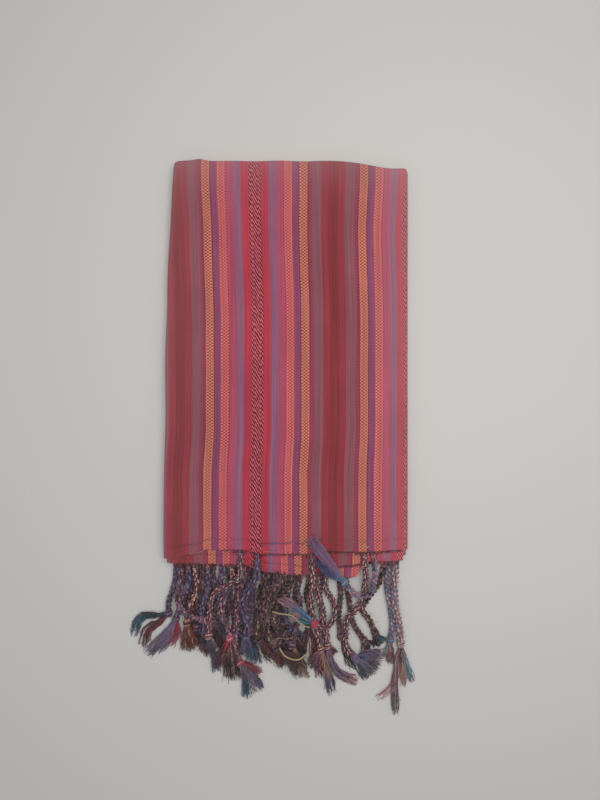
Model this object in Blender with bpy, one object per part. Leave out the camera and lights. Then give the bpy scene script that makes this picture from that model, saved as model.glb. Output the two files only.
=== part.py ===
# A striped scarf, folded flat, with both twisted fringes at its near edge.
# The scarf is halved twice along its length and folded in three across, so that
# twelve plies lie on each other. Sizes are in millimetres; +X is to the right,
# +Y away from the fringe and +Z up. The origin is the middle of the flat underside.

import math

import bpy

MM = 0.001
SEAM = 0.3

# Cloth: one modelled ply, and the plan of the folded stack.
WALL = 1.2
STACK = 14.0
LEFT = -118.0
RIGHT = 117.4
FAR = 194.0
LEFT_TAPER = 9.0
TAPER_FROM = -40.0
FAR_STEP = 7.5
FAR_STEP_FROM = 50.0
FAR_STEP_WIDTH = 55.0
CORNER = 9.0

# Rolls of the upper ply over the right fold and the far fold.
RIGHT_ROLL = 4.65
RIGHT_TURN = math.radians(120)
FAR_ROLL = 2.25
ROLL_STEPS = 4
PANEL_INSET = 1.2
FAR_TURN = math.radians(145)

# The plies' near ends sag beyond this line, held up by the fringe under them.
DROOP_FROM = -172.0
DROOP_REACH = 38.0
DROOP = 2.6
FOLLOW_HEIGHT = 6.0
WAVE = 0.45

# Near edge of each ply that shows: x of a point on the edge, and its y.
HEMS = {
    "top": ((-118, -193), (-92, -189), (-76, -184), (-42, -184), (-22, -188), (20, -188),
            (35, -185), (72, -186), (117, -184)),
    "second": ((-118, -195), (-100, -198), (-42, -199), (-30, -203), (-20, -207), (16, -210),
               (35, -206), (60, -200), (85, -196), (117, -195)),
    "third": ((-118, -190), (20, -195), (33, -200), (57, -213), (68, -212), (76, -199),
              (117, -190)),
}

# Walls whose ends show below the upper ply: heights, rear edge and side insets.
PLY_ENDS = {
    "second_ply_end": {"hem": "second", "bottom": 11.3, "top": 12.5, "rear": -148.0,
                       "left": 2.2, "right": 5.2},
    "third_fold_end": {"hem": "third", "bottom": 8.8, "top": 11.0, "rear": -160.0,
                       "left": 2.6, "right": 2.6},
}

PLY_END_ROWS = 6

# Sections of the hidden folds, from the underside up: how far each side stands in
# from the stack's plan, and the y of the near side. A wide inset is a groove.
FOLD_LEVELS = (
    {"z": 0.0, "left": 3.6, "right": 3.6, "near": -177.0, "far": 3.2},
    {"z": 0.7, "left": 1.8, "right": 1.6, "near": -181.0, "far": 1.2},
    {"z": 2.2, "left": 0.6, "right": 0.9, "near": -184.5, "far": 0.3},
    {"z": 3.8, "left": 0.1, "right": 1.6, "near": -182.0, "far": 1.0},
    {"z": 4.5, "left": 0.0, "right": 3.6, "near": -178.0, "far": 3.0},
    {"z": 5.3, "left": 0.1, "right": 2.6, "near": -184.0, "far": 1.3},
    {"z": 6.6, "left": 0.7, "right": 1.2, "near": -184.5, "far": 0.4},
    {"z": 6.7, "left": 0.8, "right": 3.1, "near": -184.0, "far": 0.4},
    {"z": 8.3, "left": 2.2, "right": 2.0, "near": -174.0, "far": 0.9},
    {"z": 8.4, "left": 2.4, "right": 2.0, "near": -159.6, "far": 1.1},
    {"z": 9.2, "left": 4.4, "right": 1.8, "near": -159.6, "far": 3.4},
    {"z": 9.8, "left": 2.6, "right": 1.8, "near": -159.6, "far": 3.0},
    {"z": 10.9, "left": 2.4, "right": 2.3, "near": -159.6, "far": 3.0},
    {"z": 11.0, "left": 2.4, "right": 2.4, "near": -147.6, "far": 2.9},
    {"z": 11.7, "left": 2.4, "right": 3.1, "near": -147.6, "far": 2.0},
    {"z": 12.4, "left": 2.8, "right": 5.0, "near": -147.6, "far": 2.7},
    {"z": 12.5, "left": 3.4, "right": 5.8, "near": -147.4, "far": 3.6},
)
END_STEPS = 9

# Every edge is straight between stations this far apart, so that neighbours fit;
# rows along the cloth, as shares of its length, are closer near the hem.
STATION = 11.0
ALONG = (0.0, 0.02, 0.045, 0.08, 0.15, 0.24, 0.33, 0.42, 0.51, 0.6, 0.69, 0.78, 0.86, 0.93, 1.0)

# Fringe rows: the edge each hangs from, and the height of its strip.
STRIP_DEPTH = 3.0
ROWS = {
    "bottom": {"edge": ((-118, -184.6), (117, -184.6)), "bottom": 1.6, "top": 2.8,
               "span": (-88, 62)},
    "middle": {"edge": ((-118, -184.8), (117, -184.8)), "bottom": 5.0, "top": 6.2,
               "span": (-113, 66)},
    "second": {"edge": HEMS["second"], "bottom": 11.3, "top": 12.5, "span": (-112, 110)},
    "top": {"edge": HEMS["top"], "bottom": 12.8, "top": 14.0, "span": (-60, 113)},
}

# Cords, knots and locks.
CORD_RADIUS = 2.4
ROOT_RADIUS = 0.5
ROOT_TAPER = 11.0
LOCK_RADIUS = 1.7
LOCK_TIP_RADIUS = 0.6
KNOT_RADIUS = 3.3
CORD_STEP = 7.0
LOCK_STEPS = 4
FLOOR_GAP = 0.4
LAY_GAP = 0.5
HANG_CURVE = 0.022
FINE_STEPS = 4

# Tassels in the order they lie, lowest first: the row, the x of the root on the row's
# strip, the cord's route from there to its knot, and the route of each lock beyond it.
TASSELS = (
    {"row": "bottom", "root": -70, "cord": ((-72, -212), (-67, -232), (-71, -248), (-70, -262)),
     "locks": (((-66, -285),), ((-74, -288),))},
    {"row": "bottom", "root": -15, "cord": ((-15, -214), (-9, -235), (-12, -252), (-7, -266)),
     "locks": (((-8, -290),), ((1, -294),), ((8, -286),))},
    {"row": "bottom", "root": 7, "cord": ((4, -215), (1, -235), (-1, -250), (4, -263)),
     "locks": (((14, -281),), ((20, -275),))},
    {"row": "bottom", "root": -86, "cord": ((-84, -212), (-88, -228), (-85, -246), (-88, -262)),
     "locks": (((-92, -280),), ((-84, -282),))},
    {"row": "bottom", "root": -30, "cord": ((-31, -214), (-33, -236), (-30, -256), (-32, -276)),
     "locks": (((-37, -296),), ((-27, -300),))},
    {"row": "bottom", "root": 50, "cord": ((52, -212), (54, -232), (52, -252), (54, -272)),
     "locks": (((59, -294), (66, -306)), ((66, -294), (76, -309)))},
    {"row": "middle", "root": -108, "cord": ((-109, -213), (-112, -226), (-116, -239),
                               (-116, -249)),
     "locks": (((-130, -256), (-142, -261), (-150, -272)),
               ((-127, -262), (-139, -270), (-142, -283)))},
    {"row": "middle", "root": -62, "cord": ((-62, -205), (-65, -221), (-64, -237), (-63, -251)),
     "locks": (((-67, -271),), ((-60, -269),))},
    {"row": "middle", "root": 0, "cord": ((-2, -210), (-8, -221), (-18, -229), (-24, -241),
                               (-28, -254), (-29, -264), (-26, -275)),
     "locks": (((-20, -288), (-12, -296)), ((-14, -285), (-3, -303)))},
    {"row": "middle", "root": 17, "cord": ((14, -212), (11, -226), (14, -237), (11, -256),
                               (6, -276)),
     "locks": (((-1, -291),), ((12, -292), (19, -304)))},
    {"row": "middle", "root": 62, "cord": ((59, -208), (60, -222), (62, -235), (64, -249),
                               (67, -261), (77, -276)),
     "locks": (((84, -283),), ((79, -290),))},
    {"row": "second", "root": -104, "cord": ((-102, -222), (-106, -237), (-100, -248),
                               (-88, -255), (-80, -260)),
     "locks": (((-84, -276),), ((-76, -278),))},
    {"row": "second", "root": -91, "cord": ((-86, -220), (-91, -234), (-96, -247), (-97, -257)),
     "locks": (((-101, -285),), ((-95, -287),), ((-88, -281),))},
    {"row": "second", "root": -97, "cord": ((-95, -215), (-99, -229), (-105, -245),
                               (-109, -255)),
     "locks": (((-121, -271), (-137, -290)), ((-115, -269), (-127, -287)),
               ((-109, -269), (-119, -280)))},
    {"row": "second", "root": -77, "cord": ((-76, -222), (-80, -237), (-82, -257), (-80, -273)),
     "locks": (((-82, -288),), ((-76, -292),), ((-71, -290), (-69, -308)))},
    {"row": "second", "root": -39, "cord": ((-44, -219), (-47, -239), (-49, -262), (-50, -281),
                               (-46, -297)),
     "locks": (((-41, -312), (-39, -333)), ((-36, -309), (-28, -327)), ((-34, -303), (-20, -320)))},
    {"row": "second", "root": -54, "cord": ((-52, -215), (-60, -229), (-62, -245), (-57, -259),
                               (-55, -272)),
     "locks": (((-63, -288), (-64, -303)), ((-57, -292), (-57, -317)), ((-51, -294), (-50, -315)))},
    {"row": "second", "root": -5, "cord": ((-11, -227), (-17, -240), (-18, -258), (-15, -270),
                               (-9, -281)),
     "locks": (((-2, -300),), ((3, -292), (12, -312)), ((9, -288), (19, -312)))},
    {"row": "second", "root": 31, "cord": ((31, -226), (35, -247), (40, -270), (41, -281)),
     "locks": (((48, -291),), ((40, -305),), ((50, -307), (69, -318)))},
    {"row": "second", "root": 97, "cord": ((93, -217), (79, -237), (75, -246), (82, -256),
                               (88, -269)),
     "locks": (((90, -283),), ((96, -280),))},
    {"row": "second", "root": 104, "cord": ((101, -213), (101, -228), (104, -244), (103, -262),
                               (101, -277)),
     "locks": (((99, -296),), ((104, -303),))},
    {"row": "top", "root": 24, "cord": ((26, -210), (25, -225), (25, -241), (27, -253),
                            (32, -270), (34, -284)),
     "locks": (((24, -300),), ((29, -306),), ((34, -313),), ((40, -306), (45, -328)))},
    {"row": "second", "root": 40, "cord": ((39, -224), (46, -238), (48, -248), (44, -259),
                               (37, -264), (29, -262)),
     "locks": (((17, -250), (4, -241), (-7, -234)), ((18, -257), (6, -251)))},
    {"row": "top", "root": -44, "cord": ((-45, -209), (-55, -217), (-67, -224), (-73, -235),
                            (-74, -248), (-75, -267)),
     "locks": (((-79, -277),), ((-72, -280),))},
    {"row": "top", "root": -28, "cord": ((-28, -209), (-34, -220), (-41, -232), (-41, -245),
                            (-37, -257), (-39, -270)),
     "locks": (((-40, -287),), ((-33, -289), (-34, -297)))},
    {"row": "top", "root": 76, "cord": ((77, -201), (78, -219), (75, -235), (69, -244),
                            (60, -254), (59, -270), (59, -283), (68, -293)),
     "locks": (((79, -292), (93, -294)), ((78, -299), (88, -306)), ((74, -303), (78, -314)))},
    {"row": "top", "root": 84, "cord": ((86, -200), (87, -216), (83, -229), (73, -234),
                            (64, -230), (58, -223)),
     "locks": (((49, -209), (36, -194), (25, -177)), ((44, -214), (31, -199)))},
    {"row": "top", "root": 110, "cord": ((108, -202), (108, -216), (107, -235), (110, -254),
                            (112, -267), (113, -279)),
     "locks": (((119, -296), (124, -318)), ((115, -298), (118, -322)),
               ((108, -298), (107, -325), (109, -347)), ((103, -296), (99, -316), (92, -334)))},
)

# Base colours of the plain solids.
COLOURS = {
    "top_panel": (0.42, 0.06, 0.08),
    "hidden_folds": (0.34, 0.05, 0.07),
    "second_ply_end": (0.45, 0.12, 0.08),
    "third_fold_end": (0.36, 0.06, 0.12),
    "fringe_bottom": (0.10, 0.05, 0.08),
    "fringe_middle": (0.16, 0.08, 0.14),
    "fringe_second": (0.22, 0.10, 0.20),
    "fringe_top": (0.30, 0.14, 0.28),
}
CLOTH_ROUGHNESS = 0.9


def clear_scene():
    for item in list(bpy.data.objects):
        bpy.data.objects.remove(item, do_unlink=True)


def ease(value):
    # A soft step from 0 to 1.
    value = min(1.0, max(0.0, value))
    return value * value * (3 - 2 * value)


def blend(start, end, share):
    return start + (end - start) * share


def along_table(table, x):
    # The y of an edge at x, eased between the table's points.
    if x <= table[0][0]:
        return table[0][1]
    for (x0, y0), (x1, y1) in zip(table, table[1:]):
        if x <= x1:
            return blend(y0, y1, ease((x - x0) / (x1 - x0)))
    return table[-1][1]


def edge_y(table, x):
    # The same, straight between stations.
    low = math.floor(x / STATION) * STATION
    ends = along_table(table, low), along_table(table, low + STATION)
    return blend(*ends, (x - low) / STATION)


def columns_between(start, end):
    # The stations between two x, and the two themselves.
    first = math.floor(start / STATION) + 1
    inner = [number * STATION for number in range(first, math.ceil(end / STATION))]
    return [start] + [x for x in inner if start + 1 < x < end - 1] + [end]


def left_edge(y):
    share = max(0.0, (y - TAPER_FROM) / (FAR - TAPER_FROM))
    return LEFT + LEFT_TAPER * share * share


def far_edge(x):
    return FAR - FAR_STEP * ease((x - FAR_STEP_FROM) / FAR_STEP_WIDTH)


def round_corner(x, y):
    # Draws a point near the stack's far corners in, so that the plan is round there.
    side = 1 if x > 0 else -1
    side_reach = RIGHT if side > 0 else -left_edge(FAR)
    across = (side * x - (side_reach - CORNER)) / CORNER
    along = (y - (far_edge(x) - CORNER)) / CORNER
    if across <= 0 or along <= 0:
        return x, y
    across = min(1.0, across)
    along = min(1.0, along)
    new_across = across * math.sqrt(1 - along * along / 2)
    new_along = along * math.sqrt(1 - across * across / 2)
    return x + side * CORNER * (new_across - across), y + CORNER * (new_along - along)


def sag(x, y):
    # How far the plies sag at the near end, and rise and dip elsewhere.
    beyond = min(1.0, max(0.0, (DROOP_FROM - y) / DROOP_REACH))
    wave = math.sin(x / 31.0 + 0.6) * math.cos(y / 47.0) * ease((y - DROOP_FROM) / 60)
    return WAVE * wave - DROOP * beyond ** 1.5


def lifted(x, y, z):
    # The height at x, y of what lies at z in a perfectly flat stack.
    return z + sag(x, y) * min(1.0, z / FOLLOW_HEIGHT)


def material(name):
    surface = bpy.data.materials.new(name)
    surface.use_nodes = True
    shader = surface.node_tree.nodes["Principled BSDF"]
    shader.inputs["Base Color"].default_value = (*COLOURS[name], 1)
    shader.inputs["Roughness"].default_value = CLOTH_ROUGHNESS
    shader.inputs["Metallic"].default_value = 0
    return surface


def make_object(name, points, faces):
    mesh = bpy.data.meshes.new(name)
    mesh.from_pydata([(x * MM, y * MM, z * MM) for x, y, z in points], [], faces)
    mesh.validate()
    item = bpy.data.objects.new(name, mesh)
    bpy.context.scene.collection.objects.link(item)
    return item


def grid_faces(columns, rows, start, flip):
    # Quads of a grid of points, stored row by row from the given index.
    faces = []
    for row in range(rows - 1):
        for column in range(columns - 1):
            corner = start + row * columns + column
            quad = (corner, corner + 1, corner + columns + 1, corner + columns)
            faces.append(quad[::-1] if flip else quad)
    return faces


def wall(name, upper, lower):
    # A closed wall between two grids of points, given as lists of rows.
    rows = len(upper)
    columns = len(upper[0])
    count = rows * columns
    points = [point for row in upper for point in row] + [point for row in lower for point in row]
    faces = grid_faces(columns, rows, 0, False) + grid_faces(columns, rows, count, True)
    rim = [column for column in range(columns)]
    rim += [row * columns + columns - 1 for row in range(1, rows)]
    rim += [(rows - 1) * columns + column for column in range(columns - 2, -1, -1)]
    rim += [row * columns for row in range(rows - 2, 0, -1)]
    for here, there in zip(rim, rim[1:] + rim[:1]):
        faces.append((there, here, here + count, there + count))
    return make_object(name, points, faces)


def panel_point(column, side_angle, end_share, end_angle, depth):
    # A point of the upper ply; depth is 0 on its outer face and WALL on its inner one.
    x = column + (RIGHT_ROLL - depth) * math.sin(side_angle)
    near = edge_y(HEMS["top"], x)
    y = blend(near, far_edge(x) - FAR_ROLL, end_share) + (FAR_ROLL - depth) * math.sin(end_angle)
    x += (left_edge(y) - LEFT) * (RIGHT - x) / (RIGHT - LEFT)
    side_drop = RIGHT_ROLL - (RIGHT_ROLL - depth) * math.cos(side_angle)
    end_drop = FAR_ROLL - (FAR_ROLL - depth) * math.cos(end_angle)
    x, y = round_corner(x, y)
    return x, y, lifted(x, y, STACK - max(side_drop, end_drop))


def with_roll(flat, turn):
    # Places on the flat stretch, then angles round the roll at its end.
    steps = [turn * (step + 1) / ROLL_STEPS for step in range(ROLL_STEPS)]
    return [(place, 0.0) for place in flat] + [(flat[-1], angle) for angle in steps]


def build_top_panel():
    across = with_roll(columns_between(LEFT + PANEL_INSET, RIGHT - RIGHT_ROLL), RIGHT_TURN)
    along = with_roll(ALONG, FAR_TURN)
    faces = []
    for depth in (0.0, WALL):
        faces.append([[panel_point(*side, *end, depth) for side in across] for end in along])
    return wall("top_panel", faces[0], faces[1])


def build_ply_end(name):
    sizes = PLY_ENDS[name]
    columns = columns_between(LEFT + sizes["left"], RIGHT - sizes["right"])
    walls = []
    for z in (sizes["top"], sizes["bottom"]):
        grid = []
        for row in range(PLY_END_ROWS + 1):
            line = []
            for x in columns:
                y = blend(edge_y(HEMS[sizes["hem"]], x), sizes["rear"], row / PLY_END_ROWS)
                line.append((x, y, lifted(x, y, z)))
            grid.append(line)
        walls.append(grid)
    return wall(name, walls[0], walls[1])


def plan_point(level, across, along):
    # A point of one section of the hidden folds, from shares across and along it.
    x = blend(LEFT, RIGHT, across)
    far = far_edge(x) - level["far"]
    y = blend(level["near"], far, along)
    x = blend(left_edge(y) + level["left"], RIGHT - level["right"], across)
    x, y = round_corner(x, y)
    return x, y, lifted(x, y, level["z"])


def build_hidden_folds():
    # Sections of points round the plan, joined upwards, with a cap at each end.
    across = [step / END_STEPS for step in range(END_STEPS + 1)]
    ring = [(share, ALONG[0]) for share in across[:-1]]
    ring += [(across[-1], share) for share in ALONG[:-1]]
    ring += [(share, ALONG[-1]) for share in reversed(across[1:])]
    ring += [(across[0], share) for share in reversed(ALONG[1:])]
    count = len(ring)
    points = [plan_point(level, *place) for level in FOLD_LEVELS for place in ring]
    faces = [tuple(reversed(range(count)))]
    for floor in range(len(FOLD_LEVELS) - 1):
        for step in range(count):
            here = floor * count + step
            there = floor * count + (step + 1) % count
            faces.append((here, there, there + count, here + count))
    index = {place: (len(FOLD_LEVELS) - 1) * count + step for step, place in enumerate(ring)}
    rows = []
    for along in ALONG:
        for share in across:
            if (share, along) not in index:
                index[(share, along)] = len(points)
                points.append(plan_point(FOLD_LEVELS[-1], share, along))
        rows.append([index[(share, along)] for share in across])
    for low, high in zip(rows, rows[1:]):
        for column in range(END_STEPS):
            faces.append((low[column], low[column + 1], high[column + 1], high[column]))
    return make_object("hidden_folds", points, faces)


def smooth_route(route, step):
    # Points about one step apart on a smooth curve through the route's own points.
    ends = [tuple(2 * a - b for a, b in zip(route[0], route[1]))]
    ends += list(route)
    ends += [tuple(2 * a - b for a, b in zip(route[-1], route[-2]))]
    fine = []
    for before, start, end, after in zip(ends, ends[1:], ends[2:], ends[3:]):
        for part in range(20):
            t = part / 20
            fine.append(tuple(
                0.5 * (2 * b + (c - a) * t + (2 * a - 5 * b + 4 * c - d) * t * t
                       + (3 * b - a - 3 * c + d) * t ** 3)
                for a, b, c, d in zip(before, start, end, after)))
    fine.append(tuple(route[-1]))
    lengths = [0.0]
    for here, there in zip(fine, fine[1:]):
        lengths.append(lengths[-1] + math.dist(here, there))
    pieces = max(2, round(lengths[-1] / step))
    points = []
    for piece in range(pieces + 1):
        goal = lengths[-1] * piece / pieces
        index = next((i for i, s in enumerate(lengths) if s >= goal - 1e-9), len(fine) - 1)
        index = max(1, index)
        span = lengths[index] - lengths[index - 1]
        share = (goal - lengths[index - 1]) / span if span else 0.0
        points.append(tuple(blend(a, b, share) for a, b in zip(fine[index - 1], fine[index])))
    return points


def support(x, y, row, from_root):
    # Height of what lies under a strand: cloth, another row's strip, or the floor.
    height = 0.0
    if y > ROWS["middle"]["edge"][0][1] - STRIP_DEPTH - 2 and row in ("second", "top"):
        height = ROWS["middle"]["top"]
    if y > edge_y(HEMS["third"], x) - 1 and row in ("second", "top"):
        height = max(height, lifted(x, y, PLY_ENDS["third_fold_end"]["top"]))
    if y > edge_y(HEMS["second"], x) - STRIP_DEPTH - 2 and (row == "top" or from_root > 25):
        if row in ("second", "top"):
            height = max(height, lifted(x, y, PLY_ENDS["second_ply_end"]["top"]))
    if y > edge_y(HEMS["top"], x) - STRIP_DEPTH - 2 and row == "top" and from_root > 25:
        height = max(height, lifted(x, y, STACK))
    return height


def fine_stations(plan, radii):
    # The strand's stations with several between each pair, as (length, x, y, radius).
    spots = []
    length = 0.0
    for (here, there), (r0, r1) in zip(zip(plan, plan[1:]), zip(radii, radii[1:])):
        span = math.dist(here, there)
        for part in range(FINE_STEPS):
            share = part / FINE_STEPS
            spots.append((length + span * share, blend(here[0], there[0], share),
                          blend(here[1], there[1], share), blend(r0, r1, share)))
        length += span
    spots.append((length, *plan[-1], radii[-1]))
    return spots


def lay(plan, radii, row, start_length, start_z, below):
    # Heights of a strand that lies on the cloth, the floor and the strands below it.
    spots = fine_stations(plan, radii)
    needs = []
    for length, x, y, radius in spots:
        need = support(x, y, row, start_length + length) + radius + FLOOR_GAP
        for other_x, other_y, other_z, other_radius in below:
            reach = radius + other_radius + LAY_GAP
            flat = (x - other_x) ** 2 + (y - other_y) ** 2
            if flat < reach * reach:
                need = max(need, other_z + math.sqrt(reach * reach - flat))
        needs.append(need)
    heights = []
    length = 0.0
    for index, place in enumerate(plan):
        if index:
            length += math.dist(plan[index - 1], place)
        heights.append(max(need - HANG_CURVE * (length - spot[0]) ** 2
                           for need, spot in zip(needs, spots)) + 0.2)
    if start_z is not None:
        heights[0] = start_z
    return heights


def tube(name, centres, radii, sides, turn):
    # A closed tube of few sides along its centre line.
    points = []
    for index, (x, y, z) in enumerate(centres):
        before = centres[max(0, index - 1)]
        after = centres[min(len(centres) - 1, index + 1)]
        flat = math.hypot(after[0] - before[0], after[1] - before[1])
        way = ((after[0] - before[0]) / flat, (after[1] - before[1]) / flat)
        rise = math.atan2(after[2] - before[2], flat)
        for side in range(sides):
            angle = turn + 2 * math.pi * side / sides
            sideways = radii[index] * math.cos(angle)
            upwards = radii[index] * math.sin(angle)
            back = -upwards * math.sin(rise)
            points.append((x - way[1] * sideways + way[0] * back,
                           y + way[0] * sideways + way[1] * back,
                           z + upwards * math.cos(rise)))
    faces = [tuple(range(sides))]
    for index in range(len(centres) - 1):
        for side in range(sides):
            here = index * sides + side
            there = index * sides + (side + 1) % sides
            faces.append((here, here + sides, there + sides, there))
    last = (len(centres) - 1) * sides
    faces.append(tuple(last + side for side in reversed(range(sides))))
    return make_object(name, points, faces)


def knot(name, centre):
    # The tassel's head, a small round lump that its cord and locks run into.
    x, y, z = centre
    bpy.ops.mesh.primitive_uv_sphere_add(segments=6, ring_count=4, radius=KNOT_RADIUS * MM,
                                         location=(x * MM, y * MM, z * MM))
    item = bpy.context.object
    item.name = name
    return item


def strands_of(tassel, below):
    # Centre lines and radii of a tassel's cord and locks, laid on what is below.
    row = tassel["row"]
    sizes = ROWS[row]
    root_y = edge_y(sizes["edge"], tassel["root"]) - SEAM - STRIP_DEPTH / 2
    plan = smooth_route(((tassel["root"], root_y),) + tassel["cord"], CORD_STEP)
    lengths = [0.0]
    for here, there in zip(plan, plan[1:]):
        lengths.append(lengths[-1] + math.dist(here, there))
    radii = [blend(ROOT_RADIUS, CORD_RADIUS, ease(length / ROOT_TAPER)) for length in lengths]
    root_x, root_y = plan[0]
    root_z = lifted(root_x, root_y, (sizes["bottom"] + sizes["top"]) / 2)
    heights = lay(plan, radii, row, 0.0, root_z, below)
    heights[-1] = max(heights[-1], KNOT_RADIUS + FLOOR_GAP)
    strands = [([(x, y, z) for (x, y), z in zip(plan, heights)], radii)]
    head = strands[0][0][-1]
    siblings = []
    for bends in tassel["locks"]:
        route = smooth_route((plan[-1],) + bends, math.inf)
        route = smooth_route((plan[-1],) + bends, route_length(route, bends) / LOCK_STEPS)
        widths = [blend(LOCK_RADIUS, LOCK_TIP_RADIUS, ease(step / (len(route) - 1) - 0.2))
                  for step in range(len(route))]
        others = below + [spot for spot in siblings if math.dist(spot[:2], head[:2]) > 8]
        levels = lay(route, widths, row, lengths[-1], head[2], others)
        line = [(x, y, z) for (x, y), z in zip(route, levels)]
        strands.append((line, widths))
        siblings += spots_of(line, widths)
    return strands


def route_length(route, bends):
    # Length of a lock's route, from its first points and its bends.
    points = [route[0]] + list(bends)
    return sum(math.dist(here, there) for here, there in zip(points, points[1:]))


def spots_of(line, radii):
    # Points close together on a strand, as x, y, z and radius, for what lies on it.
    spots = []
    for here, there, r0, r1 in zip(line, line[1:], radii, radii[1:]):
        for part in range(FINE_STEPS):
            share = part / FINE_STEPS
            spots.append(tuple(blend(a, b, share) for a, b in zip(here, there))
                         + (blend(r0, r1, share),))
    spots.append((*line[-1], radii[-1]))
    return spots


def build_strip(row):
    # The narrow strip, parted from the cloth's edge, that the row's roots run into.
    sizes = ROWS[row]
    walls = []
    for z in (sizes["top"], sizes["bottom"]):
        grid = []
        for depth in (STRIP_DEPTH + SEAM, SEAM):
            line = []
            for x in columns_between(*sizes["span"]):
                y = edge_y(sizes["edge"], x) - depth
                line.append((x, y, lifted(x, y, z)))
            grid.append(line)
        walls.append(grid)
    return wall("fringe_" + row, walls[0], walls[1])


def build_fringe():
    # All tassels are laid in order; then each row's are joined to its strip.
    below = []
    pieces = {row: [] for row in ROWS}
    for number, tassel in enumerate(TASSELS):
        strands = strands_of(tassel, below)
        for index, (line, radii) in enumerate(strands):
            name = f"strand_{number}_{index}"
            sides = 4 if index == 0 else 3
            pieces[tassel["row"]].append(tube(name, line, radii, sides, math.pi / 2))
        pieces[tassel["row"]].append(knot(f"knot_{number}", strands[0][0][-1]))
        for line, radii in strands:
            below += spots_of(line, radii)
        x, y, z = strands[0][0][-1]
        below.append((x, y, z, KNOT_RADIUS))
    fringes = []
    for row in ROWS:
        fringe = build_strip(row)
        group = bpy.data.collections.new("strands_" + row)
        bpy.context.scene.collection.children.link(group)
        for piece in pieces[row]:
            for home in list(piece.users_collection):
                home.objects.unlink(piece)
            group.objects.link(piece)
            piece.hide_render = True
            piece.display_type = "WIRE"
        join = fringe.modifiers.new("strands", "BOOLEAN")
        join.operation = "UNION"
        join.operand_type = "COLLECTION"
        join.collection = group
        join.solver = "EXACT"
        fringes.append(fringe)
    return fringes


def main():
    clear_scene()
    solids = [build_hidden_folds(), build_top_panel()]
    solids += [build_ply_end(name) for name in PLY_ENDS]
    solids += build_fringe()
    for item in solids:
        item.data.materials.append(material(item.name))


main()
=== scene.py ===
import bpy
import math
import numpy as np
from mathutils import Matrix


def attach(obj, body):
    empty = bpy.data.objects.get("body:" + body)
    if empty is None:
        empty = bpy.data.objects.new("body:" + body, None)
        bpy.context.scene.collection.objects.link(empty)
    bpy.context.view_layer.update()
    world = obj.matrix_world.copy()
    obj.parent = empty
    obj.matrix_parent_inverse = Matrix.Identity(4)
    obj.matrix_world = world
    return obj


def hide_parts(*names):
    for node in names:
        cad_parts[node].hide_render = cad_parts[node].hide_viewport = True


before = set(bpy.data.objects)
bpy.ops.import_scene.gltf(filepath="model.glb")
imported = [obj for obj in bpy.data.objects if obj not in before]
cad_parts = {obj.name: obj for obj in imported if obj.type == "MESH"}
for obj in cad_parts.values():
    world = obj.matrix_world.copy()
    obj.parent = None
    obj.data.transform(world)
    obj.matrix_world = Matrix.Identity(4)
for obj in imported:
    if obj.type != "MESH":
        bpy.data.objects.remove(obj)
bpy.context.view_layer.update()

mm = 0.001
dice = np.random.default_rng(41)

# The folded stack, in mm: the same plan and heights as its solids.
stack = {"height": 14.0, "left": -118.0, "right": 119.0, "far": 194.0,
         "leftTaper": 9.0, "taperFrom": -40.0, "leftNear": 1.9, "farStep": 7.5, "farStepFrom": 50.0,
         "farStepWidth": 55.0, "corner": 5.0, "rightRoll": 4.65, "farRoll": 2.25,
         "droopFrom": -172.0, "droopReach": 38.0, "droop": 2.6, "followHeight": 6.0,
         "wave": 0.45}

# Near edges of the plies that carry a row of tassels or show: x of a point on the edge, and its y.
hems = {
    "top": ((-118, -193), (-92, -189), (-76, -184), (-42, -184), (-22, -188), (20, -188),
            (35, -185), (72, -186), (117, -184)),
    "second": ((-118, -197.3), (-100, -198), (-42, -199), (-30, -203), (-20, -207), (16, -210),
               (35, -206), (60, -200), (85, -196), (117, -195)),
    "third": ((-118, -190), (20, -195), (33, -200), (57, -213), (68, -212), (76, -199),
              (117, -190)),
    "middle": ((-118, -184.8), (117, -184.8)),
    "bottom": ((-118, -184.6), (117, -184.6)),
}


# Small tools

def srgb(red, green, blue):
    # A colour as seen, 0 to 255, as a linear one
    parts = []
    for value in (red, green, blue):
        value /= 255
        parts.append(value / 12.92 if value <= 0.04045 else ((value + 0.055) / 1.055) ** 2.4)
    return tuple(parts)


def ease(value):
    value = np.clip(value, 0, 1)
    return value * value * (3 - 2 * value)


def mix(start, end, share):
    return start + (end - start) * share


def hill(distance, width):
    # A soft bump of height 1, about this wide
    return np.exp(-(distance / width) ** 2)


def alongTable(table, x):
    # The y of an edge at x, eased between the table's points
    xs, ys = np.array(table, float).T
    x = np.clip(x, xs[0], xs[-1])
    low = np.clip(np.searchsorted(xs, x) - 1, 0, len(xs) - 2)
    return mix(ys[low], ys[low + 1], ease((x - xs[low]) / (xs[low + 1] - xs[low])))


def ripples(x, y, size, seed):
    # Soft uneven hills of about this size, between -1 and 1
    own = np.random.default_rng(seed)
    total = 0
    for turn in range(5):
        angle = own.uniform(0, math.tau)
        length = size * own.uniform(0.7, 1.5)
        phase = own.uniform(0, math.tau)
        total = total + np.sin((x * math.cos(angle) + y * math.sin(angle)) * math.tau / length + phase)
    return total / 5


def hemAt(ply, x):
    return alongTable(hems[ply], x)


def leftEdge(y):
    share = np.maximum(0, (y - stack["taperFrom"]) / (stack["far"] - stack["taperFrom"]))
    return stack["left"] + stack["leftTaper"] * share ** 2 - stack["leftNear"] * ease((-60 - y) / 70)


def farEdge(x):
    return stack["far"] - stack["farStep"] * ease((x - stack["farStepFrom"]) / stack["farStepWidth"])


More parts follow.
